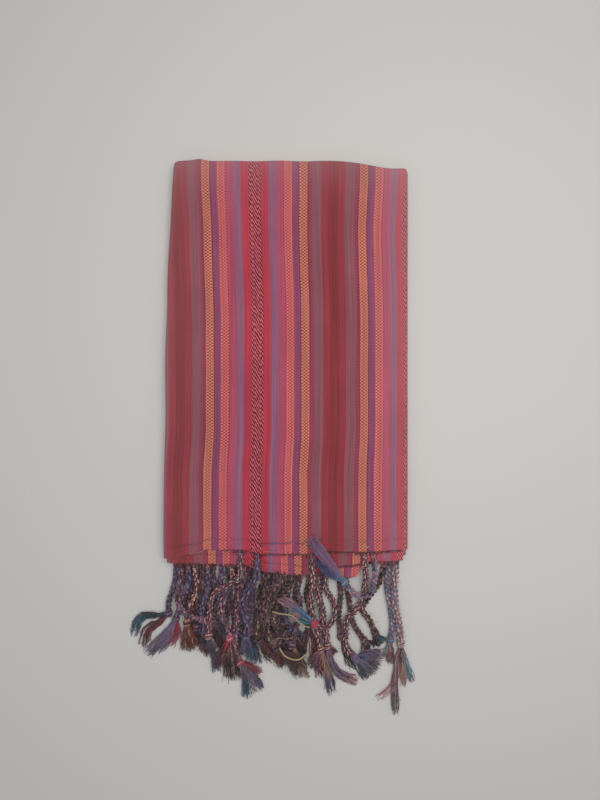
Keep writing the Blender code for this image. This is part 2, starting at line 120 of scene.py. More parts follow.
def roundCorner(x, y):
    # The stack's far corners are round in plan
    side = np.where(x > 0, 1.0, -1.0)
    reach = np.where(x > 0, stack["right"], -leftEdge(stack["far"]))
    across = np.clip((side * x - (reach - stack["corner"])) / stack["corner"], 0, 1)
    along = np.clip((y - (farEdge(x) - stack["corner"])) / stack["corner"], 0, 1)
    x = x + side * stack["corner"] * across * (np.sqrt(1 - along ** 2 / 2) - 1)
    y = y + stack["corner"] * along * (np.sqrt(1 - across ** 2 / 2) - 1)
    return x, y


def lifted(x, y, z):
    # The height at x, y of what lies at z in a perfectly flat stack
    beyond = np.clip((stack["droopFrom"] - y) / stack["droopReach"], 0, 1)
    wave = np.sin(x / 31.0 + 0.6) * np.cos(y / 47.0) * ease((y - stack["droopFrom"]) / 60)
    rise = stack["wave"] * wave - stack["droop"] * beyond ** 1.5
    return z + rise * np.minimum(1, z / stack["followHeight"])


def quads(*corners):
    return np.stack(corners, -1).reshape(-1, 4)


def addMesh(name, points, faces):
    # A smooth mesh object from points in mm
    mesh = bpy.data.meshes.new(name)
    mesh.from_pydata((np.asarray(points) * mm).tolist(), [], faces)
    mesh.update()
    piece = bpy.data.objects.new(name, mesh)
    bpy.context.scene.collection.objects.link(piece)
    mesh.polygons.foreach_set("use_smooth", [True] * len(mesh.polygons))
    return piece


def paintPoints(piece, name, kind, values):
    # A named value on every point
    layer = piece.data.attributes.new(name, kind, "POINT")
    slot = {"FLOAT_COLOR": "color", "FLOAT_VECTOR": "vector", "FLOAT": "value"}[kind]
    layer.data.foreach_set(slot, np.asarray(values, np.float32).ravel())


def settle(piece, nodes, material):
    # Every piece rides on the one body, and most stand for a solid
    piece.data.materials.append(material)
    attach(piece, "root")
    if nodes:
        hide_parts(*nodes)
    return piece


def band(to, red, green, blue, kind="plain", soft=0.4, thin=False):
    return {"to": to, "colour": srgb(red, green, blue), "kind": kind, "soft": soft, "thin": thin}


# Stripes of the cloth: half a repeat, from the maroon's middle to the twill band's, with the
# place where each ends, its colour as seen and its weave. A soft one blends into the next, and
# a thin one is a single line of warp.
stripes = {
    "darkMaroon": band(4.6, 124, 50, 55),
    "madder": band(11.2, 138, 54, 62),
    "greyMauve": band(20.4, 130, 77, 86, soft=1.1),
    "wine": band(23.8, 137, 59, 76),
    "wineTick": band(24.7, 116, 44, 56, "tick", thin=True),
    "goldRim": band(25.8, 196, 112, 94, "gold", thin=True),
    "gold": band(31.3, 184, 98, 72, "gold"),
    "goldFarRim": band(32.3, 196, 112, 94, "gold", thin=True),
    "purpleTick": band(33.3, 108, 46, 66, "tick", thin=True),
    "purple": band(39.4, 131, 66, 93),
    "coralRim": band(40.8, 198, 100, 98, "coral", thin=True),
    "coral": band(45.7, 182, 87, 84, "coral"),
    "coralFarRim": band(46.9, 196, 98, 98, "coral", thin=True),
    "roseTick": band(47.9, 150, 62, 84, "tick", thin=True),
    "rose": band(54.6, 162, 72, 93, soft=2.2),
    "periwinkle": band(61.9, 135, 86, 110, soft=0.9),
    "scarlet": band(69.4, 166, 56, 69),
    "twill": band(75.0, 92, 20, 34, "twill"),
}
# The table's last colour is the pale pink of the painted sheen, a painted highlight on the cloth near
# its folds
weave = {"half": 75.0, "middle": 47.4, "soft": 0.4, "bright": 1.4, "threads": 0.85, "fineLines": 1.7,
         "latticeAcross": 4.0, "latticeAlong": 3.0,
         "goldDark": (0.45, 0.31, 0.26), "goldLight": (1.32, 1.82, 2.5),
         "coralDark": (0.62, 0.45, 0.53), "coralLight": (1.34, 1.68, 1.66),
         "tickDark": (0.6, 0.52, 0.56), "tickLight": (1.3, 1.3, 1.3),
         "strokeLight": srgb(204, 102, 112), "strokeRows": 6.0, "strokeShift": 1.7,
         "strokeStep": 4.4, "strokeSlope": 1.85, "paintedSheenColour": srgb(206, 164, 166)}


def stripeAt(across):
    # The stripe's colour at a place across the cloth, for threads of the same warp
    place = abs((across - weave["middle"] + weave["half"]) % (2 * weave["half"]) - weave["half"])
    for stripe in stripes.values():
        if place <= stripe["to"]:
            return stripe["colour"]
    return stripes["twill"]["colour"]


# Shader tools

class Sheet:
    # A node tree with short calls for the nodes used below
    def __init__(self, tree):
        self.tree = tree

    def add(self, kind, **values):
        node = self.tree.nodes.new("ShaderNode" + kind)
        for key, value in values.items():
            setattr(node, key, value)
        return node

    def feed(self, socket, value):
        if isinstance(value, bpy.types.NodeSocket):
            self.tree.links.new(value, socket)
        else:
            socket.default_value = value

    def fed(self, kind, *values, **settings):
        # A node with these values in its first sockets
        node = self.add(kind, **settings)
        for socket, value in zip(node.inputs, values):
            self.feed(socket, value)
        return node.outputs

    def filled(self, kind, values):
        # A node with values in sockets by name
        node = self.add(kind)
        for socket, value in values.items():
            self.feed(node.inputs[socket], value)
        return node.outputs

    def maths(self, kind, *values):
        return self.fed("Math", *values, operation=kind)[0]

    def range(self, value, low, high, toLow, toHigh):
        return self.fed("MapRange", value, low, high, toLow, toHigh)["Result"]

    def wave(self, kind, value, length):
        return self.maths(kind, self.maths("MULTIPLY", value, math.tau / length))

    def blendColours(self, share, first, second, kind="MIX"):
        node = self.add("Mix", data_type="RGBA", blend_type=kind)
        self.feed(node.inputs["Factor"], share)
        for socket, value in ((node.inputs["A"], first), (node.inputs["B"], second)):
            self.feed(socket, (*value, 1) if isinstance(value, tuple) and len(value) == 3 else value)
        return node.outputs["Result"]

    def times(self, colour, factor):
        return self.blendColours(1.0, colour, factor, "MULTIPLY")

    def graded(self, colour, value, low, high, toLow, toHigh):
        # A colour that gets darker or lighter with a value
        grey = self.range(value, low, high, toLow, toHigh)
        return self.times(colour, self.fed("CombineColor", grey, grey, grey)[0])

    def noise(self, place, scale, detail=2.0):
        return self.filled("TexNoise", {"Vector": place, "Scale": scale, "Detail": detail})["Fac"]

    def streaks(self, place, across, along, detail=2.0):
        # Noise that is stretched by its own amounts across and along
        stretched = self.filled("Mapping", {"Vector": place, "Scale": (across, along, 0)})
        return self.noise(stretched["Vector"], 1.0, detail)

    def attribute(self, name, output):
        return self.add("Attribute", attribute_name=name).outputs[output]


def newGroup(name, inputs, outputs):
    tree = bpy.data.node_groups.new(name, "ShaderNodeTree")
    for way, sockets in (("INPUT", inputs), ("OUTPUT", outputs)):
        for label, kind in sockets.items():
            tree.interface.new_socket(label, in_out=way, socket_type="NodeSocket" + kind)
    return (Sheet(tree), tree.nodes.new("NodeGroupInput").outputs,
            tree.nodes.new("NodeGroupOutput").inputs)


def setRamp(ramp, stops):
    while len(ramp.elements) > 1:
        ramp.elements.remove(ramp.elements[0])
    ramp.elements[0].position = stops[0][0]
    ramp.elements[0].color = stops[0][1]
    for place, colour in stops[1:]:
        ramp.elements.new(place).color = colour


def makeStripeGroup():
    # Colour and relief of the striped cloth, from its own across and along in mm
    sheet, inside, outside = newGroup("stripedWeave", {"Across": "Float", "Along": "Float"},
                                      {"Color": "Color", "Height": "Float"})
    across, along = inside["Across"], inside["Along"]
    place = sheet.fed("CombineXYZ", across, along)[0]
    drift = sheet.streaks(place, 0.02, 0.035)
    across = sheet.maths("ADD", across, sheet.range(drift, 0, 1, -0.5, 0.5))
    fromMiddle = sheet.maths("SUBTRACT", across, weave["middle"])
    folded = sheet.maths("PINGPONG", fromMiddle, weave["half"])
    repeat = sheet.maths("DIVIDE", folded, weave["half"])
    flags = {"plain": (0, 0, 0, 0), "gold": (1, 0, 0, 0), "coral": (0, 1, 0, 0),
             "twill": (0, 0, 1, 0), "tick": (0, 0, 0, 1)}
    stops, flagStops, start, softStart = [], [], 0.0, weave["soft"]
    for stripe in stripes.values():
        spots = [start + softStart, stripe["to"] - stripe["soft"]]
        if stripe["thin"]:
            spots = [(start + stripe["to"]) / 2]
        for spot in spots:
            stops.append((spot / weave["half"], (*stripe["colour"], 1)))
            flagStops.append((spot / weave["half"], flags[stripe["kind"]]))
        start, softStart = stripe["to"], stripe["soft"]
    ramp, masks = sheet.add("ValToRGB"), sheet.add("ValToRGB")
    for node, values in ((ramp, stops), (masks, flagStops)):
        setRamp(node.color_ramp, values)
        sheet.feed(node.inputs[0], repeat)
    gold, coral, twill = sheet.fed("SeparateColor", masks.outputs[0])[:3]

    # Diamond lattice of the gold and coral stripes, fainter in places
    u = sheet.wave("COSINE", across, weave["latticeAcross"])
    v = sheet.wave("COSINE", along, weave["latticeAlong"])
    lattice = sheet.range(sheet.maths("MULTIPLY", u, v), -0.4, 0.5, 0, 1)
    show = sheet.range(sheet.streaks(place, 0.06, 0.03), 0.36, 0.6, 0.3, 1)
    lattice = sheet.maths("MULTIPLY_ADD", sheet.maths("SUBTRACT", lattice, 0.5), show, 0.5)
    plain = colour = ramp.outputs[0]
    for mask, name, share in ((gold, "gold", lattice), (coral, "coral", lattice),
                              (masks.outputs[1], "tick", sheet.range(v, -1, 1, 0, 1))):
        tint = sheet.blendColours(share, weave[name + "Dark"], weave[name + "Light"])
        colour = sheet.blendColours(mask, colour, sheet.times(plain, tint))
    # Broken diagonal strokes of the dark twill band
    row = sheet.maths("FLOOR", sheet.maths("DIVIDE", fromMiddle, weave["strokeRows"]))
    uneven = sheet.range(sheet.streaks(place, 0.16, 0.06), 0, 1, -2.0, 2.0)
    uneven = sheet.maths("MULTIPLY_ADD", row, weave["strokeShift"], uneven)
    slanted = sheet.maths("MULTIPLY_ADD", across, weave["strokeSlope"], along)
    stroke = sheet.wave("SINE", sheet.maths("ADD", slanted, uneven), weave["strokeStep"])
    gaps = sheet.range(sheet.streaks(place, 0.5, 0.22), 0.3, 0.62, -0.45, 0.45)
    strokeShow = sheet.range(sheet.maths("ADD", stroke, gaps), -0.3, 0.95, 0, 1)
    bandTone = sheet.blendColours(strokeShow, stripes["twill"]["colour"], weave["strokeLight"])
    colour = sheet.blendColours(twill, colour, bandTone)
    # Warp yarns of one stripe differ a little, and fine twill lines cross them
    colour = sheet.graded(colour, sheet.streaks(place, 0.9, 0.006, 3.0), 0.3, 0.7, 0.8, 1.2)
    fine = sheet.wave("SINE", sheet.maths("ADD", across, along), weave["fineLines"])
    colour = sheet.graded(colour, fine, -1, 1, 0.9, 1.08)
    colour = sheet.graded(colour, sheet.streaks(place, 0.03, 0.018, 3.0), 0.3, 0.7, 0.92, 1.08)
    warp, weft = (sheet.wave("SINE", way, weave["threads"]) for way in (across, along))
    height = sheet.maths("MULTIPLY_ADD", sheet.maths("MULTIPLY", warp, weft), 0.35, fine)
    height = sheet.maths("MULTIPLY_ADD", lattice, sheet.maths("MULTIPLY", gold, 1.2), height)
    height = sheet.maths("MULTIPLY_ADD", strokeShow, sheet.maths("MULTIPLY", twill, 2.0), height)
    sheet.feed(outside["Color"], sheet.times(colour, (weave["bright"],) * 3))
    sheet.feed(outside["Height"], height)
    return sheet.tree


def newMaterial(name, roughness, sheen):
    surface = bpy.data.materials.new(name)
    surface.use_nodes = True
    shader = surface.node_tree.nodes["Principled BSDF"].inputs
    for socket, value in (("Roughness", roughness), ("Specular IOR Level", 0.25),
                          ("Sheen Weight", sheen), ("Sheen Roughness", 0.45),
                          ("Sheen Tint", (1.0, 0.92, 0.9, 1))):
        shader[socket].default_value = value
    return surface, Sheet(surface.node_tree), shader


def bumped(sheet, shader, height, distance, strength):
    bump = sheet.filled("Bump", {"Distance": distance, "Strength": strength, "Height": height})
    sheet.feed(shader["Normal"], bump[0])


def makeClothMaterial():
    surface, sheet, shader = newMaterial("stripedCloth", 0.88, 0.3)
    spot = sheet.fed("SeparateXYZ", sheet.add("UVMap", uv_map="cloth").outputs[0])
    group = sheet.add("Group", node_tree=makeStripeGroup())
    for index, way in enumerate(("Across", "Along")):
        sheet.feed(group.inputs[way], sheet.maths("MULTIPLY", spot[index], 1 / mm))
    # The cloth's colour is mixed towards a pale pink by the painted sheen attribute: a painted
    # highlight near the folds and far end
    paintedSheen = sheet.attribute("paintedSheen", "Fac")
    sheet.feed(shader["Base Color"], sheet.blendColours(paintedSheen, group.outputs["Color"], weave["paintedSheenColour"]))
    bumped(sheet, shader, group.outputs["Height"], 0.00012, 0.6)
    return surface


def makeYarnMaterial():
    # Yarn: its own dye, finely mottled, with the lines of its twist
    surface, sheet, shader = newMaterial("twistedYarn", 0.85, 0.35)
    turn = sheet.fed("SeparateXYZ", sheet.attribute("turn", "Vector"))
    angle = sheet.maths("ARCTAN2", turn[1], turn[0])
    along = sheet.maths("MULTIPLY", turn[2], math.tau / 0.9)
    line = sheet.maths("SINE", sheet.maths("MULTIPLY_ADD", angle, 3, along))
    mottle = sheet.noise(sheet.add("TexCoord").outputs["Object"], 900.0, 3.0)
    colour = sheet.graded(sheet.attribute("dye", "Color"), mottle, 0.25, 0.75, 0.72, 1.3)
    sheet.feed(shader["Base Color"], sheet.graded(colour, line, -1, 1, 0.86, 1.1))
    bumped(sheet, shader, line, 0.0001, 0.6)
    return surface


clothMaterial = makeClothMaterial()
yarnMaterial = makeYarnMaterial()
print("materials made")


# Cloth

def bowed(x, y):
    # Cloth coordinate across: the stripes bow a little to the left at both ends,
    # and crowd towards the right fold, which shows the next twill band
    far = 2.3 * ease((y - 30) / 110) - 0.028 * x * ease((y - 120) / 60)
    near = 2.0 * ease((-65 - y) / 50) * (1 - 0.6 * ease((x - 60) / 50) + 0.5 * ease((-60 - x) / 40))
    rim = 2.5 * ease((x - 102) / 12)
    return x + far + near + rim


def shell(name, outer, inner, across, along):
    # A closed thin sheet between two grids of points, with a rounded rim
    rows, columns = outer.shape[:2]
    count = rows * columns
    ids = np.arange(count).reshape(rows, columns)
    rim = np.concatenate([ids[0, :], ids[1:, -1], ids[-1, -2::-1], ids[-2:0:-1, 0]])
    middle = (outer + inner) / 2
    centre = middle.copy()
    centre[0, :], centre[-1, :] = middle[1, :], middle[-2, :]
    centre[:, 0], centre[:, -1] = middle[:, 1], middle[:, -2]
    flatMiddle, flatCentre = middle.reshape(-1, 3), centre.reshape(-1, 3)
    away = flatMiddle[rim] - flatCentre[rim]
    away /= np.maximum(np.linalg.norm(away, axis=1, keepdims=True), 1e-6)
    half = np.linalg.norm(outer.reshape(-1, 3)[rim] - inner.reshape(-1, 3)[rim], axis=1) / 2
    edge = flatMiddle[rim] + away * half[:, None] * 0.9
    points = np.concatenate([outer.reshape(-1, 3), inner.reshape(-1, 3), edge])
    a, b, c, d = ids[:-1, :-1], ids[:-1, 1:], ids[1:, 1:], ids[1:, :-1]
    top = quads(a, b, c, d)
    ring = np.arange(len(rim)) + 2 * count
    nextRim, nextRing = np.roll(rim, -1), np.roll(ring, -1)
    upper = quads(nextRim, rim, ring, nextRing)
    lower = quads(nextRing, ring, rim + count, nextRim + count)
    faces = np.concatenate([top, top[:, ::-1] + count, upper, lower])
    piece = addMesh(name, points, faces.tolist())
    u = np.concatenate([across.ravel(), across.ravel(), across.ravel()[rim]])
    v = np.concatenate([along.ravel(), along.ravel(), along.ravel()[rim]])
    paintUv(piece, u, v)
    return piece


def paintUv(piece, across, along):
    corners = np.empty(len(piece.data.loops), np.int32)
    piece.data.loops.foreach_get("vertex_index", corners)
    layer = piece.data.uv_layers.new(name="cloth")
    values = np.stack([across[corners], along[corners]], -1) * mm
    layer.data.foreach_set("uv", values.astype(np.float32).ravel())
    paintSheenHighlight(piece)


def paintSheenHighlight(piece):
    # Painted sheen: the cloth's colour is painted lighter and paler towards the left, right and far
    # folds, and more so towards the far end, as a painted highlight of light catching the nap there
    spots = np.empty(len(piece.data.vertices) * 3)
    piece.data.vertices.foreach_get("co", spots)
    x, y = spots.reshape(-1, 3)[:, :2].T / mm
    left, right, far = x - leftEdge(y), stack["right"] - x, farEdge(x) - y
    fading = 0.55 + 0.45 * ease((y + 100) / 150)
    paintedSheen = (0.1 * hill(left, 5) + 0.085 * hill(left, 30)) * fading
    paintedSheen = paintedSheen + 0.08 * hill(right, 9) + 0.065 * hill(right, 34)
    paintedSheen = paintedSheen + 0.1 * ease((42 - right) / 26) * fading + 0.045 * hill(far, 40)
    paintedSheen = paintedSheen + 0.06 * hill(far, 7) + 0.1 * hill(far, 22)
    paintPoints(piece, "paintedSheen", "FLOAT", paintedSheen)


topCloth = {"thick": 0.95, "across": 138, "along": 212, "inset": 1.2, "turn": math.radians(165),
            "creaseY": 111.0, "crease": 0.55, "creaseWidth": 5.0, "hemBand": 9.0,
            "hemRise": 0.5, "stitchDip": 0.6, "pucker": 0.4,
            "wrinkle": 0.7, "wrinkleFrom": 33.0, "wrinkleTo": 80.0}


def clothRelief(x, y):
    # The main creases, and a gentle unevenness of the cloth that lies flat
    crease = topCloth["crease"] * hill(y - topCloth["creaseY"] - x / 60, topCloth["creaseWidth"])
    crease = crease * (0.75 + 0.25 * ripples(x, y, 90, 3))
    relief = 0.28 * ripples(x, y * 0.45, 46, 5) + 0.12 * ripples(x, y * 0.6, 17, 6) - crease
    relief = relief - 0.3 * hill(x + 27 + y / 40, 6) * ease((y + 150) / 60)
    relief = relief + 0.35 * hill(x - 46 - y / 50, 9)
    fromHem = y - hemAt("top", x)
    band = ease((topCloth["hemBand"] - fromHem) / 2.5)
    dip = hill(fromHem - topCloth["hemBand"] - 0.5, 1.3)
    pucker = ripples(x, y * 0.4, 11, 7)
    relief = relief + topCloth["hemRise"] * band * (1 + 0.5 * pucker) - topCloth["stitchDip"] * dip
    wide = topCloth["wrinkleTo"] - topCloth["wrinkleFrom"]
    sag = np.sin(np.clip((x - topCloth["wrinkleFrom"]) / wide, 0, 1) * math.pi)
    relief = relief - topCloth["wrinkle"] * sag * hill(fromHem - 6.5 + 2.5 * sag, 1.2)
    return relief + topCloth["pucker"] * pucker * hill(fromHem - 10, 9)


def panelPoints(places, angles, shares, farAngles, depth):
    # The upper ply, rolled over the right and far folds; depth goes in from its outer face
    roll, farRoll = stack["rightRoll"], stack["farRoll"]
    x = places + (roll - depth) * np.sin(angles)
    near = hemAt("top", x) + 0.5 * ripples(x, x * 0, 23, 11)
    bump = 1.6 * hill(x + 92, 6) + 0.7 * ripples(x, x * 0, 40, 12)
    far = farEdge(x) - farRoll + bump
    y = mix(near, far, shares) + (farRoll - depth) * np.sin(farAngles)
    lean = leftEdge(y) - stack["left"] + 0.6 * ripples(y, y * 0, 90, 13)
    x = x + lean * (stack["right"] - x) / (stack["right"] - stack["left"])
    drop = np.maximum(roll - (roll - depth) * np.cos(angles),
                      farRoll - (farRoll - depth) * np.cos(farAngles))
    x, y = roundCorner(x, y)
    flat = ease(1 - angles / 0.9) * ease(1 - farAngles / 0.9)
    return np.stack([x, y, lifted(x, y, stack["height"] - drop) + clothRelief(x, y) * flat - 0.3], -1)


def makeTopCloth():
    roll, farRoll = stack["rightRoll"], stack["farRoll"]
    rollSteps = 12
    flat = np.linspace(stack["left"] + topCloth["inset"], stack["right"] - roll, topCloth["across"])
    turned = topCloth["turn"] * np.arange(1, rollSteps + 1) / rollSteps
    places = np.concatenate([flat, np.full(rollSteps, flat[-1])])
    angles = np.concatenate([np.zeros(len(flat)), turned])
    hemward = np.linspace(0, 1, topCloth["along"]) ** 1.25
    shares = np.concatenate([hemward, np.ones(rollSteps)])
    farAngles = np.concatenate([np.zeros(len(hemward)), turned])
    grid = [np.broadcast_to(a, (len(shares), len(places))) for a in
            (places[None, :], angles[None, :], shares[:, None], farAngles[:, None])]
    outer = panelPoints(*grid, 0.0)
    inner = panelPoints(*grid, topCloth["thick"])
    across = bowed(outer[..., 0] - roll * np.sin(grid[1]), outer[..., 1]) + grid[1] * roll
    along = outer[..., 1] + grid[3] * farRoll
    piece = shell("clothTop", outer, inner, across, along)
    return settle(piece, ["top_panel"], clothMaterial)


plyEnds = {
    "clothSecond": {"node": "second_ply_end", "hem": "second", "top": 12.4, "rear": -148.0,
                    "left": 2.2, "right": 5.2, "thick": 0.95,
                    "shift": ((-71, 4.4), (12, -5.5), (100, -5.5)), "seed": 21},
    "clothThird": {"node": "third_fold_end", "hem": "third", "top": 11.0, "rear": -160.0,
                   "left": 2.6, "right": 2.6, "thick": 2.0,
                   "shift": ((-100, -21.5), (100, -21.5)), "seed": 22},
}


def makePlyEnd(name):
    sizes = plyEnds[name]
    columns = np.linspace(stack["left"] + sizes["left"], stack["right"] - sizes["right"], 170)
    shares = np.linspace(0, 1, 44) ** 1.2
    x = np.broadcast_to(columns[None, :], (len(shares), len(columns)))
    hem = hemAt(sizes["hem"], x) + 0.5 * ripples(x, x * 0, 19, sizes["seed"])
    y = mix(hem, sizes["rear"], shares[:, None])
    fromHem = y - hem
    pucker = ripples(x, y * 0.4, 12, sizes["seed"] + 1)
    relief = 0.3 * ease((8.5 - fromHem) / 2.5) * (1 + 0.6 * pucker)
    relief = relief - 0.4 * hill(fromHem - 9, 1.2) + 0.2 * pucker - 0.35
    z = lifted(x, y, sizes["top"]) + relief
    outer = np.stack([x, y, z], -1)
    inner = np.stack([x, y, z - sizes["thick"]], -1)
    shiftX, shift = np.array(sizes["shift"], float).T
    across = bowed(x - np.interp(x, shiftX, shift), y)
    piece = shell(name, outer, inner, across, y)
    return settle(piece, [sizes["node"]], clothMaterial)


# Hidden plies: bands of the stack's side, from z to z, each a rounded edge set in a little
folds = {
    "right": [(0.0, 1.15, 1.2, 0.7), (1.15, 2.25, 0.7, 0.7), (2.25, 3.35, 1.1, 0.7),
              (3.35, 4.5, 0.8, 0.7), (4.5, 6.2, 4.4, 0.0), (6.2, 12.5, 1.6, 0.0)],
    "left": [(0.0, 9.2, 0.0, 0.3), (9.3, 10.4, 2.2, 0.6), (10.4, 11.5, 1.7, 0.6),
             (11.5, 12.6, 2.3, 0.5)],
    "far": [(0.0, 4.5, 0.2, 0.4), (4.6, 9.2, 0.3, 0.4), (9.3, 12.5, 3.2, 0.0)],
    "near": [(0.0, 1.1, -182.0, 0.5), (1.1, 2.2, -184.0, 0.6), (2.2, 3.3, -183.0, 0.6),
             (3.3, 4.4, -182.5, 0.6), (4.4, 5.5, -183.5, 0.6), (5.5, 6.6, -184.3, 0.6),
             (6.6, 7.7, -181.5, 0.6), (7.7, 8.5, -172.0, 0.5), (8.5, 11.0, -159.6, 0.0),
             (11.0, 12.5, -147.6, 0.0)],
    "rollSpread": 1.4,
    "shifts": (-3.0, -12.0, 52.0, 9.0, -37.0, 64.0, 20.0, -55.0, 44.0, -8.0),
}


def bandInset(bands, z, place, inward, seed):
    # How far the stack's side stands in at a height: rounded plies with wandering edges
    index = next((i for i, band in enumerate(bands) if z <= band[1] + 1e-6), len(bands) - 1)
    low, high, base, wander = bands[index]
    half = (high - low) / 2
    across = min(0.999, abs(z - (low + high) / 2) / half)
    rounding = min(half, 4.6) * (1 - math.sqrt(1 - across ** 2))
    stray = wander * ripples(place, place * 0, 60, seed + index)
    return base + inward * (rounding - stray), index


def makeFolds():
    levels = np.concatenate([np.arange(0, 12.4, 0.22), [12.45]])
    wide, deep = 70, 110
    ring = [(i / wide, 0.0) for i in range(wide)] + [(1.0, i / deep) for i in range(deep)]
    ring += [(1 - i / wide, 1.0) for i in range(wide)] + [(0.0, 1 - i / deep) for i in range(deep)]
    across, along = np.array(ring).T
    count = len(ring)
    points, us, vs = [], [], []
    for z in levels:
        x = mix(stack["left"], stack["right"], across)
        near, nearBand = bandInset(folds["near"], z, x, 1, 200)
        farIn, farBand = bandInset(folds["far"], z, x, 1, 220)
        y = mix(near, farEdge(x) - farIn, along)
        leftIn, leftBand = bandInset(folds["left"], z, y, 1, 240)
        rightIn, rightBand = bandInset(folds["right"], z, y, 1, 260)
        x = mix(leftEdge(y) + leftIn, stack["right"] - rightIn, across)
        x, y = roundCorner(x, y)
        points.append(np.stack([x, y, lifted(x, y, z) * np.ones(count)], -1))
        shifts = np.array(folds["shifts"])
        shift = np.where(along >= 1, shifts[farBand], np.where(along <= 0, shifts[nearBand], 0))
        shift = np.where(across <= 0, shifts[leftBand], np.where(across >= 1, shifts[rightBand], shift))
        # The low left edge is one broad roll, and its stripes run on round it
        rolled = folds["rollSpread"] * (z - folds["left"][0][1]) if leftBand == 0 else 0
        us.append(bowed(x, y) + shift + np.where(across <= 0, rolled, 0))
        vs.append(y + z)
    faces = [list(range(count))[::-1]]
    for level in range(len(levels) - 1):
        here = level * count + np.arange(count)
        there = level * count + (np.arange(count) + 1) % count
        faces += quads(here, there, there + count, here + count).tolist()
    # The upper face is a grid inside the last ring
    last = (len(levels) - 1) * count
    grid = np.empty((deep + 1, wide + 1), int)
    for step, (a, b) in enumerate(ring):
        grid[round(b * deep), round(a * wide)] = last + step
    grid[1:-1, 1:-1] = last + count + np.arange((deep - 1) * (wide - 1)).reshape(deep - 1, wide - 1)
    lineLeft, lineRight = (points[-1][grid[1:-1, side] - last][:, None] for side in (0, -1))
    inner = mix(lineLeft, lineRight, np.arange(1, wide)[None, :, None] / wide).reshape(-1, 3)
    inner[:, 2] = lifted(inner[:, 0], inner[:, 1], levels[-1])
    faces += quads(grid[:-1, :-1], grid[:-1, 1:], grid[1:, 1:], grid[1:, :-1]).tolist()
    piece = addMesh("clothFolds", np.concatenate(points + [inner]), faces)
    paintUv(piece, np.concatenate(us + [inner[:, 0]]), np.concatenate(vs + [inner[:, 1]]))
    return settle(piece, ["hidden_folds"], clothMaterial)


# Fringe

# Dyes as seen, and the mixes of them that a cord's yarns have
dyes = {
    "violet": (92, 74, 100), "lavender": (128, 114, 140), "pink": (186, 126, 134),
    "navy": (48, 52, 92), "teal": (58, 104, 124), "sky": (88, 128, 158), "cream": (196, 174, 134),
    "peach": (206, 146, 122), "charcoal": (48, 40, 48), "maroon": (110, 54, 62),
    "rust": (126, 66, 52), "olive": (88, 76, 58), "grey": (112, 104, 114), "green": (46, 66, 60),
    "red": (168, 52, 68), "mauve": (122, 86, 98), "brown": (84, 58, 56), "rose": (168, 84, 104),
    "bone": (190, 164, 154), "aqua": (116, 164, 184), "smoke": (84, 92, 98),
    "orchid": (152, 112, 150), "tan": (166, 132, 114), "blush": (178, 124, 116),
    "slate": (66, 72, 110),
}
dyes = {name: srgb(*seen) for name, seen in dyes.items()}
mixes = {
    "violetMix": "violet charcoal lavender violet navy mauve violet grey",
    "blueMix": "violet navy sky maroon mauve violet lavender charcoal",
    "pinkMix": "pink charcoal mauve violet lavender maroon mauve brown",
    "speckled": "charcoal pink maroon brown bone charcoal violet mauve",
    "darkMix": "charcoal maroon brown grey mauve charcoal violet brown",
    "oliveMix": "charcoal olive brown mauve charcoal tan brown olive",
    "lightMix": "bone grey lavender pink grey bone lavender mauve",
    "greyMix": "lavender grey smoke sky mauve lavender grey bone",
    "paleMix": "lavender pink violet sky mauve lavender charcoal blush",
    "rustMix": "peach brown charcoal maroon mauve charcoal bone navy",
}
mixes = {name: words.split() for name, words in mixes.items()}

rows = {
    "bottom": {"node": "fringe_bottom", "low": 1.6, "high": 2.8, "span": (-108, 62), "sides": 4,
               "step": 1.3, "fibres": 16, "hairs": 8},
    "middle": {"node": "fringe_middle", "low": 5.0, "high": 6.2, "span": (-113, 66), "sides": 5,
               "step": 1.0, "fibres": 30, "hairs": 18},
    "second": {"node": "fringe_second", "low": 11.3, "high": 12.5, "span": (-112, 110), "sides": 5,
               "step": 0.95, "fibres": 36, "hairs": 24},
    "top": {"node": "fringe_top", "low": 12.8, "high": 14.0, "span": (-60, 113), "sides": 5,
            "step": 0.9, "fibres": 38, "hairs": 26},
}


def tassel(row, root, cord, locks, yarns, lockDyes, **more):
    return {"row": row, "hem": row, "root": root, "cord": cord, "locks": locks,
            "names": mixes[yarns], "dyes": lockDyes, "knot": mixes[yarns], "stray": mixes[yarns],
            "thick": 1.0, "fan": 1.0, "fibres": (rows[row]["fibres"],) * len(locks), **more}


